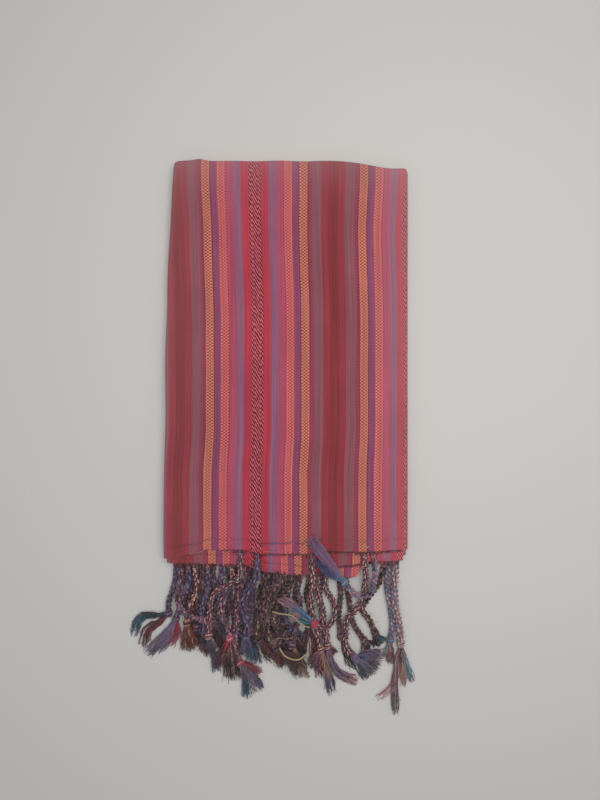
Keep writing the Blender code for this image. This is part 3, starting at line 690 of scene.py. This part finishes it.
# Tassels in the order they lie, lowest first. Those of the solids follow their solids' routes
# but for a few moved by some mm, and the further ones are thin and fill the clump. Every route
# is a row of numbers, x and y of each point in turn, and a lock's route starts at the knot.
tassels = (
    tassel("bottom", -100, (-99, -212, -97, -228, -100, -244, -96, -258), ((-100, -276), (-92, -275)),
           "darkMix", ("brown", "mauve")),
    tassel("bottom", -57, (-57, -212, -55, -230, -58, -250, -60, -268), ((-64, -286), (-56, -288)),
           "darkMix", ("maroon", "charcoal")),
    tassel("bottom", -44, (-45, -212, -42, -230, -46, -250, -43, -270), ((-40, -290), (-47, -292)),
           "violetMix", ("violet", "brown")),
    tassel("bottom", -4, (-4, -214, -9, -232, -6, -250, -10, -268), ((-6, -286), (-16, -288)),
           "darkMix", ("brown", "maroon")),
    tassel("bottom", 14, (13, -214, 9, -232, 12, -250, 8, -268), ((4, -286), (14, -290)), "darkMix",
           ("brown", "charcoal")),
    tassel("bottom", 36, (36, -212, 33, -232, 37, -250, 34, -266), ((29, -287, 26, -299), (38, -286)),
           "darkMix", ("maroon", "mauve")),
    tassel("bottom", -93, (-92, -212, -94, -226, -90, -240, -92, -254), ((-96, -270), (-88, -272)),
           "darkMix", ("charcoal", "brown")),
    tassel("bottom", -78, (-79, -212, -75, -228, -79, -244, -76, -258), ((-80, -276), (-72, -277)),
           "oliveMix", ("brown", "charcoal")),
    tassel("bottom", -64, (-64, -212, -68, -228, -63, -244, -66, -260), ((-70, -278), (-61, -279)),
           "pinkMix", ("brown", "mauve")),
    tassel("bottom", -50, (-51, -212, -48, -228, -52, -246, -50, -262), ((-55, -280), (-46, -281)),
           "darkMix", ("maroon", "brown")),
    tassel("bottom", -22, (-22, -214, -27, -232, -24, -250, -22, -266), ((-26, -284), (-16, -286)),
           "oliveMix", ("maroon", "brown")),
    tassel("bottom", 1, (-1, -214, -4, -230, 0, -246, -3, -260), ((-4, -278), (6, -280)), "darkMix",
           ("brown", "charcoal")),
    tassel("bottom", 23, (23, -214, 20, -232, 24, -248, 22, -261), ((17, -279, 14, -295),
           (26, -279, 27, -294)), "oliveMix", ("brown", "maroon"), fan=1.3),
    tassel("bottom", -70, (-72, -212, -67, -232, -71, -248, -70, -262), ((-66, -285), (-74, -288)),
           "darkMix", ("brown", "charcoal")),
    tassel("bottom", -15, (-15, -214, -9, -235, -12, -252, -7, -266), ((-8, -290), (1, -294),
           (8, -286)), "darkMix", ("brown", "maroon", "charcoal")),
    tassel("bottom", 7, (4, -215, 1, -235, -1, -250, 4, -263), ((14, -281), (20, -275)), "violetMix",
           ("navy", "violet")),
    tassel("bottom", -86, (-84, -212, -88, -228, -85, -246, -88, -262), ((-92, -280), (-84, -282)),
           "darkMix", ("brown", "mauve")),
    tassel("bottom", -30, (-31, -214, -33, -236, -30, -256, -32, -276), ((-37, -296), (-27, -300)),
           "violetMix", ("green", "mauve")),
    tassel("bottom", 50, (52, -212, 54, -232, 52, -252, 54, -272), ((59, -294, 66, -306),
           (66, -294, 76, -309)), "darkMix", ("charcoal", "green")),
    tassel("middle", -108, (-109, -213, -112, -226, -116, -239, -116, -249),
           ((-128, -252, -140, -252, -148, -259, -150, -271), (-127, -260, -137, -266, -142, -281)),
           "violetMix", (("green", "teal", 0.5), "maroon"), fan=1.15),
    tassel("middle", -62, (-62, -205, -65, -221, -64, -237, -63, -251), ((-67, -271), (-60, -269)),
           "blueMix", ("green", "green")),
    tassel("middle", 0, (-2, -210, -8, -221, -18, -229, -24, -241, -28, -254, -29, -264, -26, -275),
           ((-20, -288, -12, -296), (-14, -285, -3, -303)), "oliveMix", ("brown", "maroon")),
    tassel("middle", -36, (-36, -211, -38, -225, -34, -239, -37, -253, -35, -266), ((-41, -284),
           (-32, -287)), "darkMix", ("mauve", "charcoal")),
    tassel("middle", -18, (-18, -211, -20, -225, -15, -239, -17, -253), ((-22, -271), (-12, -274)),
           "oliveMix", ("maroon", "brown")),
    tassel("middle", -82, (-82, -210, -83, -225, -76, -240, -72, -256), ((-78, -274), (-68, -276)),
           "darkMix", ("slate", "brown")),
    tassel("middle", -10, (-10, -211, -15, -224, -21, -238, -22, -252, -17, -265, -8, -273),
           ((2, -284, 8, -296), (6, -278, 16, -290)), "darkMix", ("brown", "charcoal")),
    tassel("middle", 8, (8, -212, 3, -222, -6, -232, -12, -244, -11, -258, -2, -266),
           ((8, -272, 16, -284), (6, -280, 8, -294)), "oliveMix", ("brown", "mauve")),
    tassel("middle", 17, (14, -212, 11, -226, 14, -237, 11, -256, 6, -276), ((-1, -291),
           (12, -292, 19, -304)), "darkMix", ("charcoal", ("tan", "brown", 0.5))),
    tassel("middle", 62, (59, -208, 60, -222, 62, -235, 64, -249, 67, -261, 77, -276), ((84, -283),
           (79, -290)), "darkMix", ("charcoal", "brown")),
    tassel("second", -91, (-86, -220, -91, -234, -96, -247, -97, -257), ((-101, -285), (-95, -287),
           (-88, -281)), "rustMix", ("rust", "rust", "rust"), fan=1.1),
    tassel("second", -97, (-95, -215, -99, -229, -105, -245, -109, -255), ((-121, -271, -137, -290),
           (-115, -269, -127, -287), (-109, -269, -119, -280)), "blueMix", ("lavender", "lavender",
           ("red", "rose", 0.5)), fan=1.25),
    tassel("second", -77, (-76, -222, -80, -237, -82, -257, -80, -273), ((-82, -288), (-76, -292),
           (-71, -290, -69, -308)), "violetMix", ("mauve", "brown", "violet"), thick=1.05),
    tassel("second", -104, (-103, -218, -106, -231, -102, -242, -91, -250, -80, -252), ((-82, -268),
           (-74, -269)), "pinkMix", ("navy", "violet")),
    tassel("second", -39, (-44, -219, -47, -239, -49, -262, -50, -281, -46, -297),
           ((-41, -312, -39, -333), (-36, -309, -25, -325), (-37, -301, -25, -309)), "pinkMix",
           (("grey", "teal", 0.5), ("grey", "lavender", 0.4), ("red", "rose", 0.4)),
           knot=("rose", "maroon", "pink"), thick=1.1, fibres=(34, 40, 22)),
    tassel("second", -54, (-52, -215, -60, -229, -62, -245, -57, -259, -55, -272),
           ((-63, -288, -64, -303), (-57, -292, -57, -317), (-51, -294, -50, -315)), "pinkMix",
           (("red", "maroon", 0.25), ("blush", "brown", 0.4), ("maroon", "charcoal", 0.5)),
           knot=("red", "rose", "bone"), stray=("bone", "charcoal", "pink", "brown"), thick=1.1,
           fan=1.2),
    tassel("second", -5, (-11, -227, -17, -240, -18, -258, -15, -270, -9, -281), ((-2, -300),
           (3, -292, 12, -312), (9, -288, 19, -312)), "oliveMix", ("maroon", "brown",
           ("brown", "tan", 0.6))),
    tassel("second", 31, (31, -226, 35, -247, 40, -270, 41, -281), ((48, -291), (40, -305),
           (50, -307, 69, -318)), "speckled", ("maroon", "mauve", ("lavender", "pink", 0.75))),
    tassel("second", 97, (93, -217, 79, -237, 75, -246, 82, -256, 88, -269), ((90, -283), (96, -280)),
           "oliveMix", ("charcoal", "teal")),
    tassel("second", 104, (100, -211, 100, -226, 103, -243, 105, -261, 103, -276), ((99, -294),
           (103, -300)), "greyMix", ("tan", "mauve")),
    tassel("top", 24, (26, -210, 25, -225, 25, -241, 27, -253, 32, -270, 34, -284), ((24, -300),
           (29, -306), (34, -313), (40, -306, 45, -328)), "speckled", ("mauve", "mauve", "maroon",
           ("tan", "slate", 0.65)), fan=1.1),
    tassel("second", 40, (39, -224, 46, -237, 48, -247, 44, -256, 37, -260, 28, -257),
           ((16, -246, 4, -237, -7, -230), (17, -253, 5, -246)), "speckled", (("sky", "pink", 0.55),
           ("teal", "pink", 0.65)), knot=("red", "rose", "red"),
           stray=("sky", "teal", "pink", "slate")),
    tassel("top", -44, (-45, -209, -55, -217, -67, -224, -73, -235, -74, -248, -75, -267), ((-79, -277),
           (-72, -280)), "speckled", ("charcoal", "grey")),
    tassel("top", -28, (-28, -209, -34, -220, -41, -232, -41, -245, -37, -257, -39, -270), ((-40, -287),
           (-33, -289, -34, -297)), "violetMix", ("lavender", ("slate", "teal", 0.5)),
           knot=("violet", "slate", "lavender"), thick=1.3, fan=1.2),
    tassel("top", 76, (77, -201, 78, -219, 75, -235, 69, -244, 60, -254, 59, -270, 59, -283, 68, -293),
           ((80, -291, 95, -293), (80, -299, 91, -305), (76, -303, 81, -314)), "speckled",
           (("slate", "lavender", 0.3), ("lavender", "grey", 0.5), "smoke"),
           knot=("lavender", "violet", "slate"), stray=("slate", "lavender", "charcoal", "grey"),
           fan=1.3, fibres=(46, 42, 52)),
    tassel("top", 84, (86, -200, 87, -214, 83, -227, 74, -231, 64, -226, 57, -217),
           ((48, -204, 36, -189, 24, -173), (43, -208, 30, -194)), "paleMix", (("sky", "orchid", 0.18),
           ("sky", "slate", 0.22)), knot=("sky", "teal", "peach"),
           stray=("orchid", "lavender", "mauve"), fan=1.1, fibres=(66, 60)),
    tassel("top", 110, (108, -204, 107, -218, 107, -236, 110, -254, 112, -267, 113, -279),
           ((118, -295, 124, -317), (114, -297, 117, -321), (109, -298, 107, -325, 108, -347),
           (110, -300, 105, -322, 92, -334)), "lightMix", (("mauve", "aqua", 0.3),
           ("brown", "tan", 0.4), ("mauve", "grey", 0.7), ("mauve", "pink", 0.6)), hem="second",
           knot=("mauve", "bone", "lavender"), stray=("bone", "mauve", "tan", "grey"), thick=1.25,
           fan=0.7, fibres=(30, 26, 44, 14)),
)

cords = {"radius": 2.8, "root": 0.5, "taper": 9.0, "knot": 3.2, "lock": 1.9, "tip": 1.2, "step": 2.0,
         "floorGap": 0.3, "full": 1.28, "squeeze": 0.84, "hang": 0.022, "stripDepth": 3.3, "bent": 25,
         "pitch": 8.4, "plyOut": 1.65, "yarnOut": 1.0, "yarn": 0.8, "perPly": 5, "bright": 1.25}
knot = {"yarns": 5, "turns": 1.7, "swell": 3.1, "long": 6.0, "yarn": 0.95, "lowest": 1.3}
rootWrap = {"turns": 4, "from": 2.2, "apart": 1.6, "round": 0.8, "yarn": 0.5}
brush = {"radius": 0.38, "spread": 4.6, "height": 1.9, "segments": 10,
         "ownDye": 0.74, "curled": 0.16, "curl": 5, "lowest": 0.6}
hairs = {"yarn": 0.13, "short": 3, "long": 6.5, "bend": 2.5, "lowest": 0.3}
ends = {"apart": 0.62, "stray": 0.3, "gather": 11.0, "pull": 0.85, "yarn": 0.4}
stitches = {"apart": 3.1, "long": 2.2, "sunk": 0.55, "rise": 0.45, "yarn": 0.32}


def runOf(path):
    # The length of a path up to each of its points
    return np.concatenate([[0], np.cumsum(np.linalg.norm(np.diff(path, axis=0), axis=1))])


def sampled(goals, lengths, values):
    # The columns of values at these lengths
    return np.stack([np.interp(goals, lengths, column) for column in values.T], -1)


def around(centre, side, up, angle, out):
    # Points at an angle and a distance from those of a line
    return centre + side * (np.cos(angle) * out)[:, None] + up * (np.sin(angle) * out)[:, None]


def smoothRoute(route, step, wide=2):
    # Points about one step apart on a smooth curve through the route's own points
    route = np.reshape(route, (-1, wide)).astype(float)
    ends = np.concatenate([[2 * route[0] - route[1]], route, [2 * route[-1] - route[-2]]])
    fine = []
    for a, b, c, d in zip(ends, ends[1:], ends[2:], ends[3:]):
        t = np.linspace(0, 1, 24, endpoint=False)[:, None]
        fine.append(0.5 * (2 * b + (c - a) * t + (2 * a - 5 * b + 4 * c - d) * t ** 2
                           + (3 * b - a - 3 * c + d) * t ** 3))
    fine = np.concatenate(fine + [route[-1:]])
    lengths = runOf(fine)
    goals = np.linspace(0, lengths[-1], max(3, round(lengths[-1] / step)) + 1)
    return sampled(goals, lengths, fine), goals


def support(x, y, row, fromRoot):
    # Height of what lies under a strand: cloth, another row's edge, or the floor
    height = np.zeros(len(x))
    if row in ("second", "top"):
        deep = cords["stripDepth"] + 2
        height = np.where(y > hems["middle"][0][1] - deep, rows["middle"]["high"], height)
        bent = fromRoot > cords["bent"]   # far enough along to come back over its own hem
        for ply, sizes, reach, free in (("third", {"high": plyEnds["clothThird"]["top"]}, 1, True),
                                        ("second", rows["second"], deep, (row == "top") | bent),
                                        ("top", rows["top"], deep, (row == "top") & bent)):
            over = (y > hemAt(ply, x) - reach) & free
            height = np.where(over, np.maximum(height, lifted(x, y, sizes["high"])), height)
    return height


def ceiling(x, y, row):
    # The underside of the cloth above a strand of the two lower rows
    height = np.full(len(x), 99.0)
    if row in ("bottom", "middle"):
        for ply, under in (("third", 8.6), ("second", 11.0)):
            beyond = np.maximum(0, hemAt(ply, x) - 1.5 - y)
            height = np.minimum(height, under + beyond * 1.1)
    return height


def lay(plan, lengths, radii, row, startLength, startZ, below):
    # Heights of a strand that lies on the cloth, the floor and the strands below it
    x, y = plan[:, 0], plan[:, 1]
    need = support(x, y, row, startLength + lengths) + radii * cords["full"] + cords["floorGap"]
    if len(below):
        reach = cords["squeeze"] * (radii[:, None] + below[None, :, 3])
        flat = (x[:, None] - below[None, :, 0]) ** 2 + (y[:, None] - below[None, :, 1]) ** 2
        over = below[None, :, 2] + np.sqrt(np.maximum(reach ** 2 - flat, 0))
        need = np.maximum(need, np.where(flat < reach ** 2, over, -99).max(1))
    hang = need[None, :] - cords["hang"] * (lengths[:, None] - lengths[None, :]) ** 2
    z = np.minimum(hang.max(1) + 0.1, ceiling(x, y, row) - radii * cords["full"])
    if startZ is not None:
        z = mix(startZ, z, ease(lengths / 3.0))
    kernel = np.hanning(7)[1:-1]
    padded = np.concatenate([[z[0]] * 2, z, [z[-1]] * 2])
    return np.convolve(padded, kernel / kernel.sum(), "valid")


def frameOf(path):
    # Directions along, sideways and up for each point of a path
    along = np.gradient(path, axis=0)
    along /= np.maximum(np.linalg.norm(along, axis=1, keepdims=True), 1e-9)
    side = np.cross(along, [0, 0, 1.0])
    side /= np.maximum(np.linalg.norm(side, axis=1, keepdims=True), 1e-6)
    return along, side, np.cross(side, along)


class Yarns:
    # Gathers many thin tubes into one mesh with a dye and a turn on every point
    def __init__(self):
        self.points, self.faces, self.dyes, self.turns, self.count = [], [], [], [], 0

    def tube(self, path, radius, dye, sides):
        path = np.asarray(path, float)
        length = len(path)
        radius = np.broadcast_to(radius, (length,))
        _, side, up = frameOf(path)
        angles = np.arange(sides) * math.tau / sides
        ring = (np.cos(angles)[None, :, None] * side[:, None, :]
                + np.sin(angles)[None, :, None] * up[:, None, :]) * radius[:, None, None]
        points = (path[:, None, :] + ring).reshape(-1, 3)
        turns = np.empty((length, sides, 3))
        turns[..., 0], turns[..., 1] = np.cos(angles)[None, :], np.sin(angles)[None, :]
        turns[..., 2] = runOf(path)[:, None]
        ids = self.count + np.arange(length * sides).reshape(length, sides)
        following = np.roll(ids, -1, axis=1)
        self.faces += quads(ids[1:], following[1:], following[:-1], ids[:-1]).tolist()
        self.faces += [ids[0].tolist(), ids[-1][::-1].tolist()]
        self.points.append(points)
        self.turns.append(turns.reshape(-1, 3))
        colour = np.broadcast_to(np.asarray(dye, float).reshape(-1, 3), (length, 3))
        self.dyes.append(np.repeat(colour, sides, axis=0))
        self.count += length * sides

    def piece(self, name):
        item = addMesh(name, np.concatenate(self.points), self.faces)
        dye = np.concatenate(self.dyes)
        paintPoints(item, "dye", "FLOAT_COLOR", np.concatenate([dye, np.ones((len(dye), 1))], 1))
        paintPoints(item, "turn", "FLOAT_VECTOR", np.concatenate(self.turns))
        return item


def shaded(name, spread=0.18):
    # A dye with the small difference from yarn to yarn
    return np.array(dyes[name]) * dice.uniform(1 - spread, 1 + spread) * cords["bright"]


def spaceDyed(names, lengths):
    # A yarn that changes dye along its length
    first, second = (shaded(name) for name in names)
    phase = dice.uniform(0, 20)
    swap = ease(np.sin((lengths + phase) * math.tau / dice.uniform(18, 40)) * 3 + 0.2)
    return first[None, :] + (second - first)[None, :] * swap[:, None]


def twistCord(yarns, path, lengths, radii, names, sides, step):
    # Two plies of thin yarns, twisted round each other along the path
    fine = np.linspace(0, lengths[-1], max(8, int(lengths[-1] / step)))
    line = sampled(fine, lengths, path)
    thick = np.interp(fine, lengths, radii) / cords["radius"]
    pitch = cords["pitch"] * dice.uniform(0.9, 1.1)
    turn = dice.uniform(0, math.tau) + fine * math.tau / pitch
    _, side, up = frameOf(line)
    for ply in range(2):
        centre = around(line, side, up, turn + ply * math.pi, cords["plyOut"] * thick)
        for strand in range(cords["perPly"]):
            own = -1.3 * turn + strand * math.tau / cords["perPly"] + ply
            route = around(centre, side, up, own, cords["yarnOut"] * thick)
            index = ply * cords["perPly"] + strand
            pair = (names[index % len(names)], names[(index + 3) % len(names)])
            yarns.tube(route, cords["yarn"] * np.maximum(thick, 0.35), spaceDyed(pair, fine), sides)


def wrapKnot(yarns, centre, heading, names):
    # The knot: thick yarns wound round the cord's end
    side = np.cross(heading, [0, 0, 1.0])
    side /= np.linalg.norm(side)
    up = np.cross(side, heading)
    t = np.linspace(0, 1, 22)
    for index in range(knot["yarns"]):
        angle = t * math.tau * knot["turns"] + index * math.tau / knot["yarns"]
        swell = knot["swell"] * np.sqrt(np.maximum(0.05, 1 - (2 * t - 1) ** 2 * 0.8))
        slide = (t - 0.5) * knot["long"] + 1.1 * np.sin(angle * 2)
        route = around(centre + heading * slide[:, None], side, up, angle, swell)
        route[:, 2] = np.maximum(route[:, 2], knot["lowest"])
        yarns.tube(route, knot["yarn"], shaded(names[index % len(names)]), 5)


def frayLock(yarns, path, lengths, own, names, fan, fibres):
    # The frayed end: many fine kinked yarns that fan out and end bluntly
    total = lengths[-1]
    _, side, up = frameOf(path)
    onward = (path[-1] - path[-2]) / np.linalg.norm(path[-1] - path[-2])
    t = np.linspace(0, 1, brush["segments"])
    for fibre in range(fibres):
        end = total * dice.uniform(0.84, 1.06)
        run = np.minimum(t * end, total)
        spot, sideways, upward = (sampled(run, lengths, values) for values in (path, side, up))
        spot[:, :2] += np.maximum(t * end - total, 0)[:, None] * onward[None, :2]
        angle, far = dice.uniform(0, math.tau), math.sqrt(dice.uniform(0.02, 1))
        opened = fan * (0.3 + 0.75 * ease(t * 1.2))
        kink = np.sin(run * math.tau / dice.uniform(7, 12) + dice.uniform(0, math.tau))
        kink = 0.75 * kink * ease(t * 3)
        curl = 0
        if dice.random() < brush["curled"]:
            curl = dice.uniform(-brush["curl"], brush["curl"]) * ease((t - 0.62) / 0.38)
        wide = math.cos(angle) * far * brush["spread"] * opened + kink + curl
        high = math.sin(angle) * far * brush["height"] * opened + kink * 0.5
        spot = spot + sideways * wide[:, None] + upward * high[:, None]
        spot[:, 2] = np.maximum(spot[:, 2], brush["lowest"])
        pair = own if isinstance(own, tuple) else (own, own, 0.5)
        if dice.random() > brush["ownDye"]:
            pair = (names[dice.integers(len(names))],) * 2 + (0.5,)
        first, second = shaded(pair[0], 0.3), shaded(pair[1], 0.3)
        dye = first + (second - first) * ease((t - pair[2] * dice.uniform(0.8, 1.2)) / 0.15)[:, None]
        radius = brush["radius"] * dice.uniform(0.75, 1.25) * (1 - 0.3 * t ** 3)
        yarns.tube(spot, radius, dye, 3)


def wrapRoot(yarns, path, lengths, names):
    # A few light turns of yarn that gather the warp where the cord starts
    t = np.linspace(0, 1, 12)
    for index in range(rootWrap["turns"]):
        spot = rootWrap["from"] + index * rootWrap["apart"] + dice.uniform(-0.4, 0.4)
        centre = sampled(spot, lengths, path)
        angle = t * math.tau * rootWrap["round"] + dice.uniform(0, math.tau)
        route = centre + np.stack([np.cos(angle) * 1.7, t * 1.4 - 0.7, np.sin(angle) * 1.3 + 0.3], -1)
        yarns.tube(route, rootWrap["yarn"], shaded(names[dice.integers(len(names))], 0.25), 4)


def fuzz(yarns, path, names, count):
    # Loose hairs that stand off a cord
    for hair in range(count):
        index = dice.integers(3, len(path) - 3)
        start = path[index] + dice.normal(0, 0.8, 3)
        way = dice.normal(0, 1, 3)
        way[2] = abs(way[2]) * 0.4
        way /= np.linalg.norm(way)
        bend = dice.normal(0, 0.5, 3)
        t = np.linspace(0, 1, 5)[:, None]
        route = start + way * t * dice.uniform(hairs["short"], hairs["long"])
        route = route + bend * t ** 2 * hairs["bend"]
        route[:, 2] = np.maximum(route[:, 2], hairs["lowest"])
        yarns.tube(route, hairs["yarn"], shaded(names[hair % len(names)], 0.3), 3)


def warpEnds(yarns, row):
    # Ends of the warp along the hem, drawn together where a tassel starts
    sizes = rows[row]
    roots = np.array([item["root"] for item in tassels if item["hem"] == row], float)
    for x in np.arange(sizes["span"][0] + 0.8, sizes["span"][1], ends["apart"]):
        x = x + dice.uniform(-ends["stray"], ends["stray"])
        edge = hemAt(row, np.array([x]))[0]
        root = roots[np.abs(roots - x).argmin()]
        pull = ends["pull"] * max(0.0, 1 - abs(root - x) / ends["gather"])
        t = np.linspace(0, 1, 4)
        length = dice.uniform(2.2, 4.2) + 4.5 * pull
        y = edge + 0.8 - t * length
        z = lifted(x, y, (sizes["low"] + sizes["high"]) / 2 - 0.2) + 0.3 * np.sin(t * 3 + x)
        route = np.stack([mix(x, root, pull * t) + dice.uniform(-0.7, 0.7) * t, y, z], -1)
        colour = np.array(stripeAt(x)) * weave["bright"] * dice.uniform(0.6, 1.1)
        if dice.random() < 0.5:
            colour = shaded(("charcoal", "brown", "maroon", "mauve")[dice.integers(4)], 0.3)
        yarns.tube(route, ends["yarn"] * (1 - 0.3 * t), colour, 3)


def makeFringe():
    below = np.zeros((0, 4))
    gathered = {row: Yarns() for row in rows}
    for item in tassels:
        sizes, yarns, names, hem, thick = (rows[item["row"]], gathered[item["row"]], item["names"],
                                           item["hem"], item["thick"])
        rootY = hemAt(hem, np.array([float(item["root"])]))[0] - cords["stripDepth"] / 2
        plan, lengths = smoothRoute((item["root"], rootY, *item["cord"]), cords["step"])
        radii = mix(cords["root"], cords["radius"], ease(lengths / cords["taper"]))
        startZ = lifted(plan[0, 0], plan[0, 1], (rows[hem]["low"] + rows[hem]["high"]) / 2)
        z = lay(plan, lengths, radii * thick, hem, 0.0, startZ, below)
        z[-1] = max(z[-1], cords["knot"] + cords["floorGap"])
        path = np.concatenate([plan, z[:, None]], 1)
        twistCord(yarns, path, lengths, np.maximum(radii, 1.3) * thick, names,
                  sizes["sides"], sizes["step"])
        heading = path[-1] - path[-3]
        wrapKnot(yarns, path[-1], heading / np.linalg.norm(heading), item["knot"])
        wrapRoot(yarns, path, lengths, ("pink", "cream", "blush", "rose", "lavender"))
        fuzz(yarns, path, names, sizes["hairs"])
        added = [np.concatenate([path, (radii * thick)[:, None]], 1), [[*path[-1], cords["knot"]]]]
        for bends, dye, fibres in zip(item["locks"], item["dyes"], item["fibres"]):
            lockPlan, run = smoothRoute((*plan[-1], *bends), cords["step"])
            widths = mix(cords["lock"], cords["tip"], ease(run / run[-1] - 0.2))
            lockZ = lay(lockPlan, run, widths, hem, lengths[-1], path[-1, 2], below)
            lockPath = np.concatenate([lockPlan, lockZ[:, None]], 1)
            frayLock(yarns, lockPath, run, dye, item["stray"], item["fan"], fibres)
            added.append(np.concatenate([lockPath, widths[:, None]], 1))
        below = np.concatenate([below] + added)
    pieces = []
    for row, yarns in gathered.items():
        warpEnds(yarns, row)
        piece = yarns.piece("fringe" + row.capitalize())
        pieces.append(settle(piece, [rows[row]["node"]], yarnMaterial))
        print(piece.name, len(piece.data.polygons), "faces")
    return pieces, below


# Threads that lie on the cloth, with x, y and z of each point, or in the fringe, with x and y
threads = (
    {"dye": "blush", "radius": 0.55, "wide": 3,
     "route": (-93, -188.5, 13.6, -88, -187.5, 14.2, -82, -185.5, 14.3, -76, -182.5, 14.2)},
    {"dye": "cream", "radius": 0.8, "wide": 2,
     "route": (-13, -242, -7, -244, 1, -246, 7, -249, 13, -255, 18, -259, 23, -261)},
    {"dye": "cream", "radius": 0.9, "wide": 2,
     "route": (-6, -278, -2, -284, 4, -288, 12, -289, 21, -284)},
    {"dye": "tan", "radius": 0.5, "wide": 2, "route": (-13, -271, -7, -269, 0, -270, 6, -268)},
    {"dye": "cream", "radius": 0.45, "wide": 3,
     "route": (74, -181.6, 14.5, 76.5, -180, 15.1, 78.5, -181.8, 14.6, 81, -180.4, 14.9)},
    {"dye": "cream", "radius": 0.4, "wide": 3,
     "route": (15, -178.5, 14.4, 17.5, -177, 14.9, 19.5, -179, 14.6, 22, -178, 14.5)},
    {"dye": "lavender", "radius": 0.4, "wide": 3,
     "route": (-21, -180, 14.3, -12, -178, 14.5, 0, -177.5, 14.5, 9, -176, 14.4)},
    {"dye": "pink", "radius": 0.4, "wide": 3,
     "route": (-22, -186, 13.6, -13, -185.5, 13.8, -3, -186.5, 13.8, 4, -186, 13.6)},
)


def makeThreads(heap):
    yarns = Yarns()
    for thread in threads:
        plan, lengths = smoothRoute(thread["route"], 1.0, thread["wide"])
        if thread["wide"] == 2:
            thick = np.full(len(plan), thread["radius"] + 0.7)
            plan = np.column_stack([plan, lay(plan, lengths, thick, "top", 99, None, heap)])
        _, side, up = frameOf(plan)
        for ply in range(2):
            angle = lengths * math.tau / 3.5 + ply * math.pi
            route = around(plan, side, up, angle, thread["radius"] * 0.5)
            yarns.tube(route, thread["radius"] * 0.6, shaded(thread["dye"], 0.12) * 0.85, 5)
    t = np.linspace(0, 1, 5)
    for hem, top, inward in (("top", stack["height"], 9.5),
                             ("second", plyEnds["clothSecond"]["top"], 9.0)):
        for x in np.arange(-112, 108, stitches["apart"]):
            y = hemAt(hem, np.array([x]))[0] + inward + dice.uniform(-0.25, 0.25)
            z = lifted(x, y, top) - stitches["sunk"] + stitches["rise"] * np.sin(t * math.pi)
            route = np.stack([x + t * stitches["long"], y + 0 * t, z], -1)
            colour = np.array(stripeAt(x)) * weave["bright"] * dice.uniform(0.8, 1.15)
            light = shaded("blush", 0.25)
            yarns.tube(route, stitches["yarn"], mix(colour, light, ease((x - 20) / 60) * 0.8), 4)
    return settle(yarns.piece("looseThreads"), [], yarnMaterial)


clothTop = makeTopCloth()
clothFolds = makeFolds()
clothSecond = makePlyEnd("clothSecond")
clothThird = makePlyEnd("clothThird")
print("cloth made")
fringes, heap = makeFringe()
looseThreads = makeThreads(heap)
print("fringe made")


# Floor, light and camera

room = {"floor": srgb(224, 222, 218), "window": 4.15, "fill": 1.1, "world": 0.34}
view = {"x": 13.6, "y": -38.8, "height": 575.0, "focal": 578.0, "frame": 800.0}

bpy.ops.mesh.primitive_plane_add(size=8, location=(0, 0, 0))
floor = bpy.context.object
floor.name = "floor"
floorMaterial = bpy.data.materials.new("paleFloor")
floorMaterial.use_nodes = True
floorShader = floorMaterial.node_tree.nodes["Principled BSDF"]
floorShader.inputs["Base Color"].default_value = (*room["floor"], 1)
floorShader.inputs["Roughness"].default_value = 0.7
floor.data.materials.append(floorMaterial)


def addLight(name, spot, aim, size, watts, colour):
    bpy.ops.object.light_add(type="AREA", location=spot)
    lamp = bpy.context.object
    lamp.name = name
    lamp.data.size = size
    lamp.data.energy = watts
    lamp.data.color = colour
    way = np.array(aim) - np.array(spot)
    lamp.rotation_euler = (math.acos(-way[2] / np.linalg.norm(way)), 0,
                           math.atan2(way[1], way[0]) - math.pi / 2)


addLight("windowLight", (0.19, 0.1, 0.88), (0.05, 0.02, 0), 0.65, room["window"], (1.0, 0.99, 0.97))
addLight("roomLight", (-0.8, -0.5, 1.6), (0, -0.1, 0), 1.6, room["fill"], (0.97, 0.98, 1.0))
world = bpy.context.scene.world or bpy.data.worlds.new("room")
bpy.context.scene.world = world
world.use_nodes = True
world.node_tree.nodes["Background"].inputs["Color"].default_value = (0.97, 0.97, 1.0, 1)
world.node_tree.nodes["Background"].inputs["Strength"].default_value = room["world"]

cameraData = bpy.data.cameras.new("camera")
cameraData.sensor_fit = "VERTICAL"
cameraData.sensor_height = 24
cameraData.lens = cameraData.sensor_height * view["focal"] / view["frame"]
cameraData.clip_start = 0.01
camera = bpy.data.objects.new("camera", cameraData)
bpy.context.scene.collection.objects.link(camera)
camera.location = (view["x"] * mm, view["y"] * mm, view["height"] * mm)
bpy.context.scene.camera = camera
bpy.context.scene.view_settings.view_transform = "Standard"
print("floor, light and camera set")
